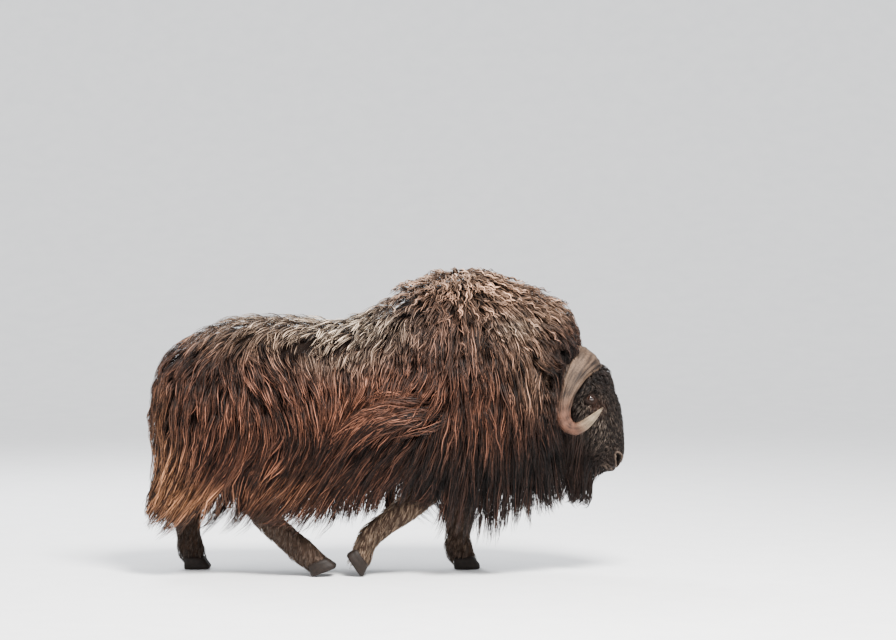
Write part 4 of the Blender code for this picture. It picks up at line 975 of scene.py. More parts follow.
def shaded(colours, shade):
    return colours * (shade * PELT_SHARE)[:, None]


def body_pelt(points, along, tint):
    """Colour of the trunk's hair: the markings, with painted shade towards the root and lighter at the tip.
    """
    colours = np.tile(BROWN, (len(points), 1))
    low = 1 - step(0.50, 0.98, points[:, 2])
    for name, colour in MARK_COLOURS.items():
        strength = marking(name, points)
        if name in ("frost", "blond"):
            strength = strength * step(0.05, 0.70, along) * (0.35 + 0.65 * step(0.3, 1.3, tint))
        if name == "blond":
            low = low * (1 - strength)
        colours = mixed(colours, colour, strength)
    tint = tint ** (1 + 0.25 * low)
    # The factor of along is painted shade, darkest at the root deep in the coat
    return shaded(colours, (0.12 + 1.08 * step(0.0, 0.75, along)) * tint * (1 - LOW_DARK * low))


def lips_and_rims(points):
    """How pale the skin is round the nostrils and along the lips."""
    away = np.minimum(*(line_distance(points, lip) for lip in LIP_LINES))
    pale = 0.65 * bell(away, 0, 0.0050) * step(0.475, 0.505, head_place(points)[0])
    for side in (RIGHT, LEFT):
        pale = np.maximum(pale, 0.7 * bell(comma_distance(points, side), 0.0045, 0.0038))
    return pale


def face_pelt(points, along, tint):
    """Colour of the head's hair: near black, grizzled on the cheek, pale round the nostrils and lips."""
    a, f = head_place(points)
    colours = np.tile(FACE_DARK, (len(points), 1))
    colours = mixed(colours, FACE_PALE, bell(a, 0.29, 0.14) * bell(f, -0.01, 0.09) * step(0.95, 1.6, tint))
    colours = mixed(colours, FACE_RED, 0.7 * bell(a, 0.235, 0.035) * bell(f, 0.03, 0.035))
    colours = mixed(colours, BEARD, step(-0.05, -0.12, f))
    colours = mixed(colours, LIP_PALE, lips_and_rims(points))
    # The factor of along is painted shade, darkest at the root
    return shaded(colours, (0.40 + 0.75 * step(0.0, 0.8, along)) * np.clip(tint, 0.3, 2.4))


def leg_pelt(leg, points, along, tint):
    colours = np.tile(LEG_COLOURS[leg], (len(points), 1))
    colours = mixed(colours, LEG_DARK, 0.7 * step(0.30, 0.46, points[:, 2]))
    # The factor of along is painted shade, darkest at the root
    return shaded(colours, (0.45 + 0.65 * step(0, 0.8, along)) * np.clip(tint, 0.4, 2.0))


def ear_pelt(points, along, tint):
    # The factor of along is painted shade, darkest at the root
    return shaded(np.tile(EAR_TAN, (len(points), 1)), (0.4 + 0.7 * step(0, 0.8, along)) * tint)


def leg_share(points):
    """How much of each point belongs to a leg below the long hair."""
    best = np.full(len(points), 1e9)
    for leg, spec in LEGS.items():
        line = [(x, spec["side"] * y, z) for x, y, z, _, _ in spec["path"]]
        best = np.minimum(best, line_distance(points, np.array([*line, foot_point(leg, 0.0, 0.0, 0.0)])))
    return (1 - step(0.10, 0.13, best)) * (1 - step(0.40, 0.50, points[:, 2]))


def skin_pelt(points):
    """Colour of the skin: the coat's own markings, with painted shade as at the roots of long hair."""
    ones = np.ones(len(points))
    a, f = head_place(points)
    on_head = step(0.0, 0.10, a) * step(-0.17, -0.12, f) * step(0.84, 0.90, points[:, 0])
    colours = mixed(body_pelt(points, 0 * ones, 0.8 * ones), face_pelt(points, 0.35 * ones, ones), on_head)
    # Skin under the fur of the legs and ears is darker still: painted shade under the hair
    colours = mixed(colours, LEG_DARK * PELT_SHARE * 0.7, leg_share(points))
    near = np.minimum(*(line_distance(points, ear_ends(side)) for side in (RIGHT, LEFT)))
    colours = mixed(colours, EAR_TAN * PELT_SHARE * 0.6, 1 - step(0.04, 0.06, near))
    for side in (RIGHT, LEFT):
        # Near black inside each nostril: painted shade in its deep opening
        colours = mixed(colours, NOSTRIL_PAINTED_SHADE, 1 - step(-0.006, 0.001, comma_distance(points, side)))
        away = np.linalg.norm(points - eye_at(side), axis=1)
        colours = mixed(colours, LID_DARK, 1 - step(EYE_RADIUS + 0.002, EYE_RADIUS + 0.008, away))
    # A dark line along the mouth: painted shade in the crease between the lips
    return mixed(colours, MOUTH_PAINTED_SHADE, 0.9 * (1 - step(0.002, 0.005, line_distance(points, MOUTH_LINE))))


# Materials


def new_material(name, roughness, specular):
    """A material, its node tree and its shader."""
    material = bpy.data.materials.new(name)
    material.use_nodes = True
    shader = material.node_tree.nodes["Principled BSDF"]
    shader.inputs["Roughness"].default_value = roughness
    shader.inputs["Specular IOR Level"].default_value = specular
    return material, material.node_tree, shader


def attribute_node(tree, name):
    node = tree.nodes.new("ShaderNodeAttribute")
    node.attribute_name = name
    return node


def noise_node(tree, place, scale, detail, roughness=0.5):
    node = tree.nodes.new("ShaderNodeTexNoise")
    for name, value in (("Scale", scale), ("Detail", detail), ("Roughness", roughness)):
        node.inputs[name].default_value = value
    tree.links.new(place, node.inputs["Vector"])
    return node.outputs["Fac"]


def ramp_node(tree, source, stops):
    node = tree.nodes.new("ShaderNodeValToRGB")
    tree.links.new(source, node.inputs["Fac"])
    for element, (place, colour) in zip(node.color_ramp.elements, stops):
        element.position = place
        element.color = (*colour, 1)
    return node.outputs["Color"]


def multiply_node(tree, a, b):
    node = tree.nodes.new("ShaderNodeMix")
    node.data_type = "RGBA"
    node.blend_type = "MULTIPLY"
    node.inputs["Factor"].default_value = 1.0
    colours = [socket for socket in node.inputs if socket.type == "RGBA"]
    tree.links.new(a, colours[0])
    tree.links.new(b, colours[1])
    return next(socket for socket in node.outputs if socket.type == "RGBA")


def bump_node(tree, shader, source, strength, distance):
    node = tree.nodes.new("ShaderNodeBump")
    node.inputs["Strength"].default_value = strength
    node.inputs["Distance"].default_value = distance
    tree.links.new(source, node.inputs["Height"])
    tree.links.new(node.outputs["Normal"], shader.inputs["Normal"])


def mottled(name, roughness, specular, noise, stops, relief=None, grain=False, pelt=True):
    """A material of the pelt's colour times two shades of noise; relief is a strength and a distance."""
    material, tree, shader = new_material(name, roughness, specular)
    if grain:
        where = attribute_node(tree, "grain").outputs["Vector"]
    else:
        where = tree.nodes.new("ShaderNodeTexCoord").outputs["Object"]
    source = noise_node(tree, where, *noise)
    colour = ramp_node(tree, source, stops)
    if pelt:
        colour = multiply_node(tree, attribute_node(tree, "pelt").outputs["Color"], colour)
    tree.links.new(colour, shader.inputs["Base Color"])
    if relief:
        bump_node(tree, shader, source, *relief)
    return material


def hair_material():
    return mottled("coat", 0.5, 0.18, (38, 4), [(0.25, (0.72, 0.70, 0.68)), (0.75, (1.25, 1.26, 1.28))])


def skin_material():
    shades = [(0.3, (0.55, 0.54, 0.53)), (0.7, (1.3, 1.3, 1.3))]
    return mottled("skin", 0.8, 0.08, (90, 8), shades, (0.6, 0.004))


def horn_material():
    shades = [(0.38, (0.42, 0.36, 0.32)), (0.60, (1.28, 1.26, 1.22))]
    return mottled("horn", 0.55, 0.2, (24, 7, 0.65), shades, (0.7, 0.004), grain=True)


def hoof_material():
    shades = [(0.3, (0.6, 0.58, 0.56)), (0.7, (1.35, 1.3, 1.25))]
    return mottled("hoof", 0.6, 0.2, (70, 5), shades, (0.4, 0.002))


def floor_material():
    shades = [(0.3, (0.84, 0.845, 0.855)), (0.7, (0.88, 0.885, 0.89))]
    return mottled("floor", 0.85, 0.2, (6, 4), shades, pelt=False)


def eye_material():
    material, tree, shader = new_material("eye", 0.08, 0.5)
    tree.links.new(attribute_node(tree, "pelt").outputs["Color"], shader.inputs["Base Color"])
    shader.inputs["Coat Weight"].default_value = 0.45
    shader.inputs["Coat Roughness"].default_value = 0.03
    return material


# Horns

HORN_RINGS, HORN_SIDES = 170, 56
HORN_POWER = 0.85
HORN_SHARE = 0.33
HORN_BOSS = linear(156, 128, 106)
HORN_MIDDLE = linear(178, 124, 100)
HORN_TIP = linear(246, 222, 188)
HORN_END = linear(90, 70, 58)
HORN_CREVICE = linear(44, 32, 26)


def horn_colours(turns, share, rough, fibre):
    """Thin dark lines between the fibres, broad clouds, and painted shade in the grooves of the fibre relief.
    """
    lines = np.sin(turns * 31 + 3 * np.sin(share * 13 + turns * 2)) * np.sin(turns * 47 + share * 31)
    clouds = np.sin(share * 23 + turns * 2 + 1.0) * np.sin(share * 41 - turns * 3)
    # The fibre term lightens the ridges of the relief and darkens its grooves: painted light and shade. The
    # lines and clouds are the horn's own grain.
    light = 0.56 + 0.40 * lines * (0.45 + 0.55 * rough) + 0.20 * fibre * rough + 0.24 * clouds
    flat, light = share.ravel(), np.clip(light, 0, 1).ravel()
    colours = mixed(np.tile(HORN_BOSS, (flat.size, 1)), HORN_MIDDLE, step(0.25, 0.50, flat))
    colours = mixed(colours, HORN_TIP, step(0.66, 0.84, flat))
    colours = mixed(colours, HORN_END, 0.7 * step(0.95, 1.0, flat))
    return mixed(colours, HORN_CREVICE, (1 - light) * (1.2 - 0.45 * step(0.60, 0.85, flat))) * HORN_SHARE


def horn_object(side, name, material):
    values = smooth_rows(HORN, HORN_RINGS)
    centres = values[:, :3] * np.array((1, side, 1))
    way = unit(np.gradient(centres, axis=0))
    way[0] = (0, side, 0)
    broad = tangent(np.stack([values[:, 5], 0 * values[:, 5], values[:, 6]], axis=1), way)
    thick = np.cross(way, broad)
    share, turns = np.meshgrid(np.linspace(0, 1, HORN_RINGS), ring_turns(HORN_SIDES), indexing="ij")
    # Fibres run along the horn, coarse on the boss and fine towards the tip
    fibre = np.sin(turns * 9 + 2.0 * np.sin(share * 9)) * np.sin(turns * 5 + share * 11 + 1.3)
    fine = np.sin(turns * 23 + share * 17) * np.sin(turns * 14 - share * 23)
    rough = 1 - step(0.25, 0.60, share)
    ring = np.sin(share * 60 + 1.5 * np.sin(turns * 3)) * step(0.2, 0.35, share) * (1 - step(0.5, 0.7, share))
    relief = 0.0028 * rough * fibre + 0.0013 * rough * fine + 0.0007 * fine * (1 - rough) + 0.0005 * ring
    inner = 1 - 0.30 * (1 - step(0.0, 0.045, share)) ** 2
    a, b = (half * inner + relief * step(0.0, 0.012, half) for half in (values[:, 3:4], values[:, 4:5]))
    x = a * power(np.cos(turns), HORN_POWER)
    y = b * power(np.sin(turns), HORN_POWER)
    obj = tube_object(name, centres[:, None] + broad[:, None] * x[..., None] + thick[:, None] * y[..., None])
    set_colour(obj, with_ends(horn_colours(turns, share, rough, fibre)), material)
    grain = np.stack([np.cos(turns) * 1.6, np.sin(turns) * 1.6, share * 7.0], axis=-1).reshape(-1, 3)
    attribute = obj.data.attributes.new("grain", "FLOAT_VECTOR", "POINT")
    attribute.data.foreach_set("vector", with_ends(grain).astype(np.float32).ravel())
    return obj


# Eyes and hooves

HOOF_RINGS, HOOF_SIDES = 26, 48
# Height, then shares of the length and shift to the rear and share of the breadth
HOOF_WALL = [
    (0.0, 0.9, 0.002, 0.9), (0.004, 0.97, 0.001, 0.97), (0.01, 1.0, 0.0, 1.0), (0.034, 0.9, 0.006, 0.95),
    (0.055, 0.74, 0.012, 0.84), (0.06, 0.66, 0.013, 0.76),
]
TOE_TAPER = 0.10
HOOF_COLOUR = linear(52, 40, 33) * 0.34
IRIS = linear(40, 22, 13)
IRIS_RIM = linear(14, 10, 8)
EYE_WHITE = linear(70, 52, 44)
PUPIL = linear(8, 7, 7)


def eye_object(side, name, material):
    obj = tube_object(name, ball_grid(side, EYE_RADIUS, 0.0016, 56, 64))
    points = mesh_points(obj) - eye_at(side)
    u, v, w = (points @ way / EYE_RADIUS for way in eye_ways(side))
    flat = np.hypot(u, v)
    iris = IRIS * (0.7 + 0.5 * np.sin(np.arctan2(v, u) * 34)[:, None] ** 2)
    colours = mixed(iris, EYE_WHITE, step(0.66, 0.74, flat) + (w < 0))
    # The pupil is a level bar
    bar = np.maximum(np.abs(u) / 0.36, np.abs(v) / 0.15)
    colours = mixed(colours, PUPIL, 1 - step(0.85, 1.05, bar))
    colours = mixed(colours, IRIS_RIM, step(0.54, 0.62, flat) * (1 - step(0.66, 0.72, flat)))
    return set_colour(obj, colours, material)


def claw_object(leg, name, inner, material):
    heights = np.linspace(0, HOOF_WALL[-1][0], HOOF_RINGS)
    long_, back, broad = smooth(HOOF_WALL, heights).T[..., None]
    heights = heights[:, None]
    turns = ring_turns(HOOF_SIDES)[None]
    half = HOOF_LENGTH / 2
    ridge = 1 + 0.006 * np.sin(heights * 900) * step(0.006, 0.014, heights)
    x = half * long_ * power(np.cos(turns), 0.8) * ridge - back
    out = HOOF_BREADTH * broad * (0.5 + 0.5 * power(np.sin(turns), 0.75)) * ridge
    toe = TOE_TAPER * HOOF_BREADTH * np.maximum(0.0, x / half)
    y = inner * (HOOF_CLEFT + np.maximum(out - toe, 0.0) + toe / 7)
    grid = foot_point(leg, x, y, heights)
    if LEGS[leg]["pitch"]:
        grid[..., 2] = np.maximum(grid[..., 2], 0.0)
    shade = np.broadcast_to(0.7 + 0.3 * np.sin(heights * 450 + 1.0) ** 2, x.shape).reshape(-1, 1)
    return set_colour(tube_object(name, grid), with_ends(HOOF_COLOUR * shade), material)


# The coat, part by part

# Depth of the hair over the back: x, depth
TOP_DEPTH = [
    (-1.1, 0.044), (-0.7, 0.061), (-0.44, 0.059), (-0.19, 0.065), (0.0, 0.074), (0.13, 0.069),
    (0.32, 0.053), (0.48, 0.046), (0.6, 0.043), (0.73, 0.056), (0.84, 0.058), (0.95, 0.048),
]
SIDE_DEPTH = 0.072
BELLY_DEPTH = 0.030
LEG_DEPTH = 0.010


def trunk_depth(points, outs):
    """How far the outer hair of the trunk stands from the skin."""
    x, z, up = points[:, 0], points[:, 2], outs[:, 2]
    depth = SIDE_DEPTH + (np.interp(x, *np.array(TOP_DEPTH).T) - SIDE_DEPTH) * step(0.1, 0.7, up)
    depth = depth + (BELLY_DEPTH - depth) * step(0.3, 0.7, -up)
    at_horn = step(0.77, 0.84, x) * step(0.62, 0.70, z) * (1 - step(0.98, 1.06, z))
    over_boss = step(0.83, 0.90, x) * step(1.02, 1.08, z)
    depth = depth * (1 - 0.80 * at_horn) * (1 - 0.55 * over_boss)
    return depth + (LEG_DEPTH - depth) * leg_share(points)


def trunk_way(points, outs):
    """The lie on the trunk; on the back the hair falls to the rear, or forwards on the mane, and aside."""
    back = step(0.45, 0.9, outs[:, 2])[:, None]
    x = points[:, 0]
    to_rear = 1 - 2 * step(0.10, 0.60, x)
    parting = 0.035 * np.sin(31 * x) + 0.025 * np.sin(67 * x + 1)
    aside = np.tanh((points[:, 1] + parting) / 0.09)
    fall = np.stack([-0.9 * to_rear, aside, -0.3 + 0 * aside], axis=1)
    return unit(lie_at(points) * (1 - back) + unit(fall) * back)


def swept_way(points, outs):
    """Hair that the near foreleg throws back over the flank, first level and then down."""
    down = np.radians(np.interp(points[:, 0], (-0.28, -0.12, 0.05, 0.20, 0.34), (66, 52, 20, 2, 24)))
    return np.stack([-np.cos(down), 0 * down, -np.sin(down)], axis=1)


def head_way(points, outs):
    """The lie on the head: down the face, back over the cheeks, and off the chin to the rear."""
    a, _ = head_place(points)
    facing = outs @ FACE_WAY
    front, back = step(0.1, 0.6, facing)[:, None], step(0.2, 0.6, -facing)[:, None]
    chin = step(0.36, 0.44, a)[:, None]
    side = unit(np.array((-0.45, 0.0, -1.0))) * (1 - chin) + unit(np.array((-0.9, 0.0, -0.8))) * chin
    lean = 0.5 + 0.5 * np.sin(points[:, 1] * 170 + 1)
    down = np.stack([-0.05 - 0.50 * lean * (1 - 0.35 * chin[:, 0]), 0 * a, -1 + 0 * a], axis=1)
    lie = MUZZLE_WAY * front + side * (1 - front)
    return unit(lie * (1 - back) + down * back)


def eye_clearance(points, least):
    """1 away from the eyes, falling to `least` at them."""
    clear = np.ones(len(points))
    for side in (RIGHT, LEFT):
        away = np.linalg.norm(points - eye_at(side), axis=1)
        clear = np.minimum(clear, least + (1 - least) * step(0.026, 0.050, away))
    return clear


def head_depth(points, outs):
    a, f = head_place(points)
    facing = outs @ FACE_WAY
    depth = 0.010 + 0.014 * step(0.03, -0.06, f) + 0.035 * step(0.2, 0.7, -facing)
    depth = depth + 0.020 * bell(a, 0.10, 0.05) * step(0.2, 0.7, facing)
    return depth * (1 - 0.75 * step(0.40, 0.50, a)) * eye_clearance(points, 0.25)


def leg_depth(points, outs):
    return 0.004 + 0.012 * step(0.2, 0.9, -outs[:, 0]) + 0.010 * (1 - step(0.05, 0.12, points[:, 2]))


def even_depth(depth):
    return lambda points, outs: np.full(len(points), depth)


def even_way(way):
    return lambda points, outs: np.tile(way, (len(points), 1))


TRUNK_LIE = (trunk_way, trunk_depth)
HEAD_LIE = (head_way, head_depth)
LEG_LIE = (even_way(np.array((-0.25, 0, -1.0))), leg_depth)

# Where each hair grows, and how long it is before its random share


def away_from_head(points):
    """0 where the trunk's end lies in the head or under the boss, 1 elsewhere."""
    a, f = head_place(points)
    x, y, z = points.T
    in_the_head = (a > 0.02) & (f > -0.10) & (np.abs(y) < 0.11)
    under_boss = (x > 0.865) & (z > 0.90) & (z < 1.05)
    return np.where(in_the_head | under_boss, 0.0, 1.0)


def fringe_keep(points, normals):
    """Short hair that falls from the mane on to the boss."""
    x, _, z = points.T
    return step(0.83, 0.86, x) * step(1.055, 1.09, z) * step(0.2, 0.5, normals[:, 0])


def flank_keep(points, normals):
    """Long hair of the sides."""
    return (1 - step(0.55, 0.85, normals[:, 2])) * step(0.50, 0.62, points[:, 2]) * away_from_head(points)


def flank_length(points, normals):
    x, _, z = points.T
    length = 0.31 - 0.08 * step(0.55, 0.75, x) * step(0.6, 0.8, z) - 0.10 * step(0.1, 0.6, normals[:, 2])
    return length - 0.18 * step(0.84, 0.88, x) * step(0.95, 1.05, z)


def back_keep(points, normals):
    """Shorter, finer hair of the back, which frays where it meets the long hair."""
    x, up = points[:, 0], normals[:, 2]
    top = step(0.0, 0.45, up) * (1 + 0.6 * step(0.75, 0.95, up))
    dense = 1 + 1.1 * bell(x, 0.02, 0.12) + 1.3 * step(0.60, 0.74, x) + 0.6 * step(-0.80, -0.95, x)
    return top * dense * away_from_head(points)


def back_length(points, normals):
    stations = (-1.0, -0.6, -0.2, 0.15, 0.40, 0.60, 0.78, 0.86)
    return np.interp(points[:, 0], stations, (0.16, 0.15, 0.13, 0.10, 0.11, 0.12, 0.09, 0.045))


def skirt_keep(points, normals):
    """The lowest long hair, which hangs to the hem."""
    x, _, z = points.T
    low = (1 - step(0.60, 0.72, z)) * step(-0.75, -0.45, normals[:, 2])
    return low * away_from_head(points) * (1 + step(0.55, 0.75, x))


def skirt_length(points, normals):
    return np.clip((points[:, 2] - hem_at(points)) * 1.36, 0.12, 0.56)


def belly_keep(points, normals):
    """Short hair of the belly, hidden by the skirt from most sides."""
    return step(0.4, 0.7, -normals[:, 2])


def neck_keep(points, normals):
    """Shorter hair behind the horns and round the ears."""
    x, y, z = points.T
    return step(0.70, 0.76, x) * step(0.55, 0.65, z) * (1 - step(1.08, 1.16, z)) * (np.abs(y) > 0.08)


def swirl_keep(points, normals):
    """The swirl on the right flank."""
    x, y, z = points.T
    return bell(x, 0.19, 0.08) * bell(z, 0.785, 0.040) * (y < 0)


def hump_keep(points, normals):
    """Curls on the crown of the hump and on the mane."""
    x, y, _ = points.T
    crown = 1.6 * bell(x, 0.34, 0.14) * bell(y, 0, 0.12)
    return (crown * 3 + bell(x, 0.56, 0.20)) * step(0.25, 0.65, normals[:, 2]) * away_from_head(points)


def face_keep(points, normals):
    a, f = head_place(points)
    chin = 0.03 * step(-0.05, -0.08, f)
    weight = step(0.06, 0.09, a) * (1 - step(0.505 + chin, 0.525 + chin, a)) * (1 + 0.8 * step(0.30, 0.45, a))
    bare = np.minimum(comma_distance(points, RIGHT), comma_distance(points, LEFT)) > 0.006
    bare = bare & (line_distance(points, MOUTH_LINE) > 0.006) & (eye_clearance(points, 0.0) > 0.02)
    return weight * (normals @ FACE_WAY > -0.75) * bare


def face_length(points, normals):
    a, f = head_place(points)
    length = 0.034 - 0.024 * step(0.36, 0.50, a) + 0.035 * step(0.02, -0.06, f) * (1 - step(0.36, 0.48, a))
    return length * eye_clearance(points, 0.35)


def forehead_keep(points, normals):
    a, f = head_place(points)
    return step(0.02, 0.05, a) * (1 - step(0.13, 0.17, a)) * step(-0.08, 0.0, f)


def forehead_length(points, normals):
    return eye_clearance(points, 0.4)


def beard_keep(points, normals):
    a, f = head_place(points)
    under = step(0.05, 0.5, -(normals @ FACE_WAY)) * step(-0.04, -0.07, f)
    return step(0.02, 0.08, a) * (1 - step(0.50, 0.53, a)) * under


def beard_length(points, normals):
    return 0.34 - 0.305 * step(0.43, 0.50, head_place(points)[0])


def leg_keep(points, normals):
    return 1 - step(0.42, 0.50, points[:, 2])


def leg_extra(points, normals):
    return 0.02 * step(0.2, 0.9, -normals[:, 0]) + 0.018 * (1 - step(0.10, 0.16, points[:, 2]))


def even(points, normals):
    return np.ones(len(points))


# Name, slot, where it grows, length, random share of it, locks, strands a lock, points, spread, clump, wave,
# width, shortest, share of the height at the root, spread of the lie
BODY_COAT = [
    ("coat_flank", "mane", flank_keep, flank_length, (0.75, 1.15), 1260, 11, 6, 0.028, 0.45, (0.0055, 0.17),
     0.0042, 0.6, 0.2, 0.12),
    ("coat_back", "saddle", back_keep, back_length, (0.75, 1.2), 1450, 8, 5, 0.026, 0.25, (0.0018, 0.080),
     0.0037, 0.6, 0.60, 0.28),
    ("coat_skirt", "rump", skirt_keep, skirt_length, (0.85, 1.12), 640, 11, 6, 0.026, 0.50, (0.0065, 0.18),
     0.0042, 0.72, 0.2, 0.13),
    ("coat_belly", "mane", belly_keep, even, (0.10, 0.16), 90, 6, 5, 0.030, 0.40, (0.0040, 0.070),
     0.0065, 0.7, 0.1, 0.16),
    ("coat_neck", "mane", neck_keep, even, (0.08, 0.15), 260, 9, 5, 0.018, 0.40, (0.0030, 0.060),
     0.0040, 0.6, 0.2, 0.16),
    ("coat_fringe", "mane", fringe_keep, even, (0.025, 0.045), 130, 9, 5, 0.014, 0.30, (0.0020, 0.060),
     0.0036, 0.6, 0.3, 0.30),
]


class Coat:
    """What all hair shares: the surface it grows on, its material and its random numbers."""

    def __init__(self, surface):
        self.surface = surface
        self.material = hair_material()
        self.rng = np.random.default_rng(SEED)

    def roots(self, grid, count, keep):
        return cell_sample(grid, int(count * COAT_SHARE), self.rng, keep)

    def add(self, name, slot, pelt, locks, strands, bright=1.0):
        """Cuts locks into strands and makes their pieces."""
        strands = split(self.rng, locks, **strands)
        tuft_pieces(name, strands._replace(tints=strands.tints * bright), pelt, self.material)

    def part(self, names, pelt, grid, keep, lie, count, share, layers, segments, strands,
             length=even, extra=None, bright=1.0, **growth):
        """Hair of one part, whose length's share and layers are random between two limits each."""
        sample = self.roots(grid, count, keep)
        lengths = length(*sample[:2]) * self.rng.uniform(*share, len(sample[0]))
        if extra:
            lengths = lengths + extra(*sample[:2])
        layers = self.rng.uniform(*layers, len(lengths))
        self.add(*names, pelt, grow(self, sample, lie, lengths, layers, segments, **growth), strands, bright)


def strand_plan(each, points, spread, clump, wave, width, **more):
    """How a lock is cut into strands."""
    return dict(each=each, points=points, spread=spread, clump=clump, wave=wave, width=width, **more)


def coat_of_trunk(coat):
    for name, slot, keep, length, share, count, each, points, spread, clump, wave, width, *rest in BODY_COAT:
        shortest, base, stray = rest
        sample = coat.roots(TRUNK_SKIN, count, keep)
        layers = coat.rng.random(len(sample[0])) ** 0.6 * 0.75 + 0.25
        lengths = length(*sample[:2]) * coat.rng.uniform(*share, len(layers))
        locks = grow(coat, sample, TRUNK_LIE, lengths, layers, 12, hem_at, stray=stray, base=base)
        plan = strand_plan(each, points, spread, clump, wave, width, shortest=shortest)
        coat.add(name, slot, body_pelt, locks, plan)


def coat_of_ear(coat, side, word):
    root, tip = ear_ends(side)
    along = unit(tip - root)

    def keep(points, normals):
        return step(0.02, 0.05, (points - root) @ along)

    lie = (even_way(unit(along + np.array((0, 0, -0.35)))), even_depth(0.005))
    plan = strand_plan(5, 4, 0.006, 0.3, (0.001, 0.03), 0.0028, vary=0.4)
    names = (f"ear_fur_{word}", "mane")
    coat.part(names, ear_pelt, EAR_SKINS[side], keep, lie, 240, (0.020, 0.036), (0.3, 1.0), 5, plan,
              stray=0.3, hang=2.0)


def coat_of_leg(coat, leg):
    names = (leg.replace("leg", "fur"), "leg")
    plan = strand_plan(8, 3, 0.009, 0.3, (0.0008, 0.03), 0.0025, vary=0.30)
    coat.part(names, partial(leg_pelt, leg), LEG_SKINS[leg], leg_keep, LEG_LIE, 450, (0.036, 0.060),
              (0.3, 1.0), 4, plan, extra=leg_extra, stray=0.2, hang=2.0)


def swirl_and_hump(coat):
    plan = strand_plan(9, 8, 0.020, 0.5, (0.005, 0.10), 0.0052)
    coat.part(("coat_swirl", "mane"), body_pelt, TRUNK_SKIN, swirl_keep, (swept_way, trunk_depth), 60,
              (0.26, 0.42), (0.7, 1.10), 12, plan)
    plan = strand_plan(5, 10, 0.018, 0.6, (0.002, 0.05), 0.0060, curl=0.006)
    coat.part(("coat_hump", "hump"), body_pelt, TRUNK_SKIN, hump_keep, TRUNK_LIE, 300,
              (0.09, 0.14), (0.85, 1.30), 10, plan, stray=0.6, base=0.6, bright=1.5)


def coat_of_head(coat):
    plan = strand_plan(5, 3, 0.008, 0.3, (0.0006, 0.03), 0.0023, vary=0.5)
    coat.part(("coat_face", "face"), face_pelt, HEAD_SKIN, face_keep, HEAD_LIE, 3300, (0.75, 1.2),
              (0.3, 1.0), 4, plan, length=face_length, stray=0.25, base=0.1)
    plan = strand_plan(7, 6, 0.012, 0.3, (0.003, 0.04), 0.0028, vary=0.5)
    coat.part(("coat_forehead", "face"), face_pelt, HEAD_SKIN, forehead_keep, HEAD_LIE, 270, (0.040, 0.070),
              (0.5, 1.3), 8, plan, length=forehead_length, stray=0.35)
    plan = strand_plan(8, 6, 0.020, 0.5, (0.004, 0.07), 0.0052)
    coat.part(("coat_beard", "mane"), face_pelt, HEAD_SKIN, beard_keep, HEAD_LIE, 370, (0.7, 1.15),
              (0.3, 1.0), 12, plan, length=beard_length, hem=hem_at, hang=0.0)


def build_coat(coat):
    coat_of_trunk(coat)
    swirl_and_hump(coat)
    coat_of_head(coat)
    for leg in LEGS:
        coat_of_leg(coat, leg)
    for side, word in SIDES:
        coat_of_ear(coat, side, word)
    plan = strand_plan(7, 8, 0.010, 0.5, (0.003, 0.05), 0.0060)
    coat.part(("coat_tail", "rump"), body_pelt, TAIL_SKIN, even, (trunk_way, even_depth(0.015)), 120,
              (0.07, 0.12), (0.3, 1.0), 6, plan)


FLESH = ["torso_rear", "torso_middle", "torso_front", "neck", "head", "tail", "ear_left", "ear_right", *LEGS]


def build_animal():
    skin = build_skin()
    points = mesh_points(skin)
    set_colour(skin, skin_pelt(points), skin_material())
    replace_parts(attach(skin, "root"), *FLESH)
    horn, eye, hoof = horn_material(), eye_material(), hoof_material()
    for side, word in SIDES:
        piece = horn_object(side, f"horn_piece_{word}", horn)
        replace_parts(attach(piece, "root"), f"horn_{word}")
        piece = eye_object(side, f"eye_piece_{word}", eye)
        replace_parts(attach(piece, "root"), f"eye_{word}")
    for leg in LEGS:
        for inner, word in SIDES:
            node = f"{leg.replace('_leg_', '_hoof_')}_{word}_claw"
            claw = claw_object(leg, f"{node}_piece", inner, hoof)
            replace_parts(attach(claw, "root"), node)
    polygons = [tuple(polygon.vertices) for polygon in skin.data.polygons]
    build_coat(Coat(BVHTree.FromPolygons([tuple(p) for p in points], polygons)))


# Stage, light and camera

FLOOR_HALF = 60.0
BEND_AT = 10.0
BEND_RADIUS = 12.0
STAGE_MIDDLE = (0.0, 0.0, 0.8)
# The photo in pixels: its size, the column of x = 0 and the row of the floor; metres to a pixel
PHOTO_WIDTH, PHOTO_HEIGHT = 896, 640
MIDDLE_COLUMN, FLOOR_ROW = 382.5, 573
PHOTO_SCALE = 0.0047
CAMERA_AWAY = 14.0
ELEVATION = 1.75


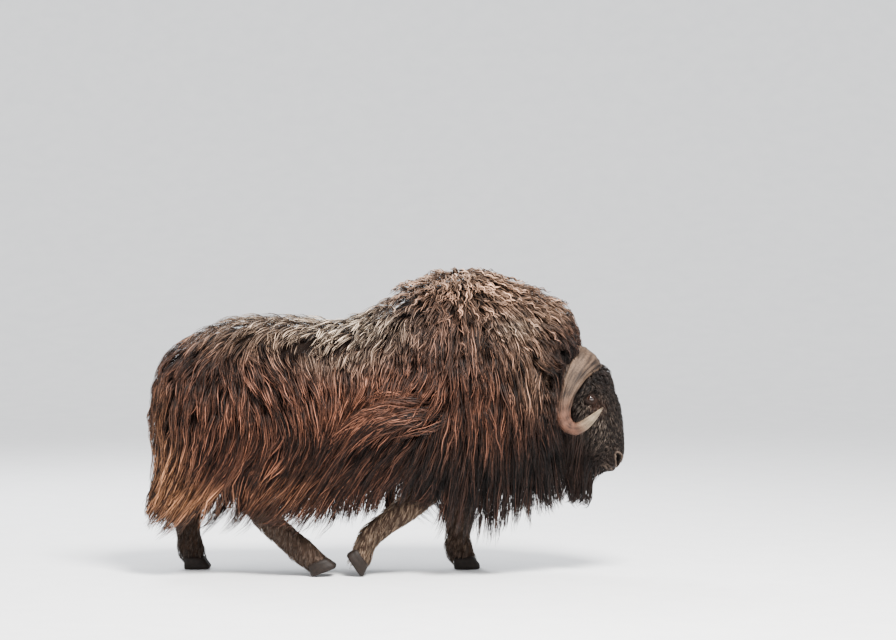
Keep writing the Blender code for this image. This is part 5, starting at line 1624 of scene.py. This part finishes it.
def build_floor():
    """A floor that bends up behind the animal, so that no horizon shows."""
    turns = np.linspace(0, math.pi / 2, 33)
    bend = np.stack([BEND_AT + BEND_RADIUS * np.sin(turns), BEND_RADIUS * (1 - np.cos(turns))], axis=1)
    profile = np.concatenate([[(-FLOOR_HALF, 0.0)], bend, [(BEND_AT + BEND_RADIUS, FLOOR_HALF)]])
    points = [(x, y, z) for y, z in profile for x in (-FLOOR_HALF, FLOOR_HALF)]
    faces = [(2 * i, 2 * i + 1, 2 * i + 3, 2 * i + 2) for i in range(len(profile) - 1)]
    mesh = bpy.data.meshes.new("floor")
    mesh.from_pydata(points, [], faces)
    mesh.shade_smooth()
    mesh.materials.append(floor_material())
    place("floor", mesh)


def aim(obj, target):
    obj.rotation_euler = (Vector(target) - obj.location).to_track_quat("-Z", "Y").to_euler()


def area_light(name, spot, size, watts, colour):
    light = bpy.data.lights.new(name, "AREA")
    light.shape = "DISK"
    light.size = size
    light.energy = watts
    light.color = colour
    obj = place(name, light)
    obj.location = spot
    aim(obj, STAGE_MIDDLE)


def build_sky():
    world = bpy.data.worlds.new("sky")
    bpy.context.scene.world = world
    world.use_nodes = True
    background = world.node_tree.nodes["Background"]
    background.inputs["Color"].default_value = (0.97, 0.98, 1.0, 1)
    background.inputs["Strength"].default_value = 1.45


def build_camera():
    camera = bpy.data.cameras.new("camera")
    camera.sensor_width = 36.0
    camera.lens = CAMERA_AWAY * camera.sensor_width / (PHOTO_WIDTH * PHOTO_SCALE)
    camera.clip_end = 200
    obj = place("camera", camera)
    across, up = PHOTO_WIDTH / 2 - MIDDLE_COLUMN, FLOOR_ROW - PHOTO_HEIGHT / 2
    target = Vector((across * PHOTO_SCALE + SHIFT[0], 0.0, up * PHOTO_SCALE))
    angle = math.radians(ELEVATION)
    obj.location = target + Vector((0, -math.cos(angle), math.sin(angle))) * CAMERA_AWAY
    aim(obj, target)
    bpy.context.scene.camera = obj


build_floor()
build_sky()
area_light("key", (1.5, -4.0, 6.0), 2.4, 1900, (1.0, 0.975, 0.94))
area_light("rim", (-2.5, 4.5, 5.0), 3.0, 500, (0.93, 0.96, 1.0))
build_animal()
build_camera()
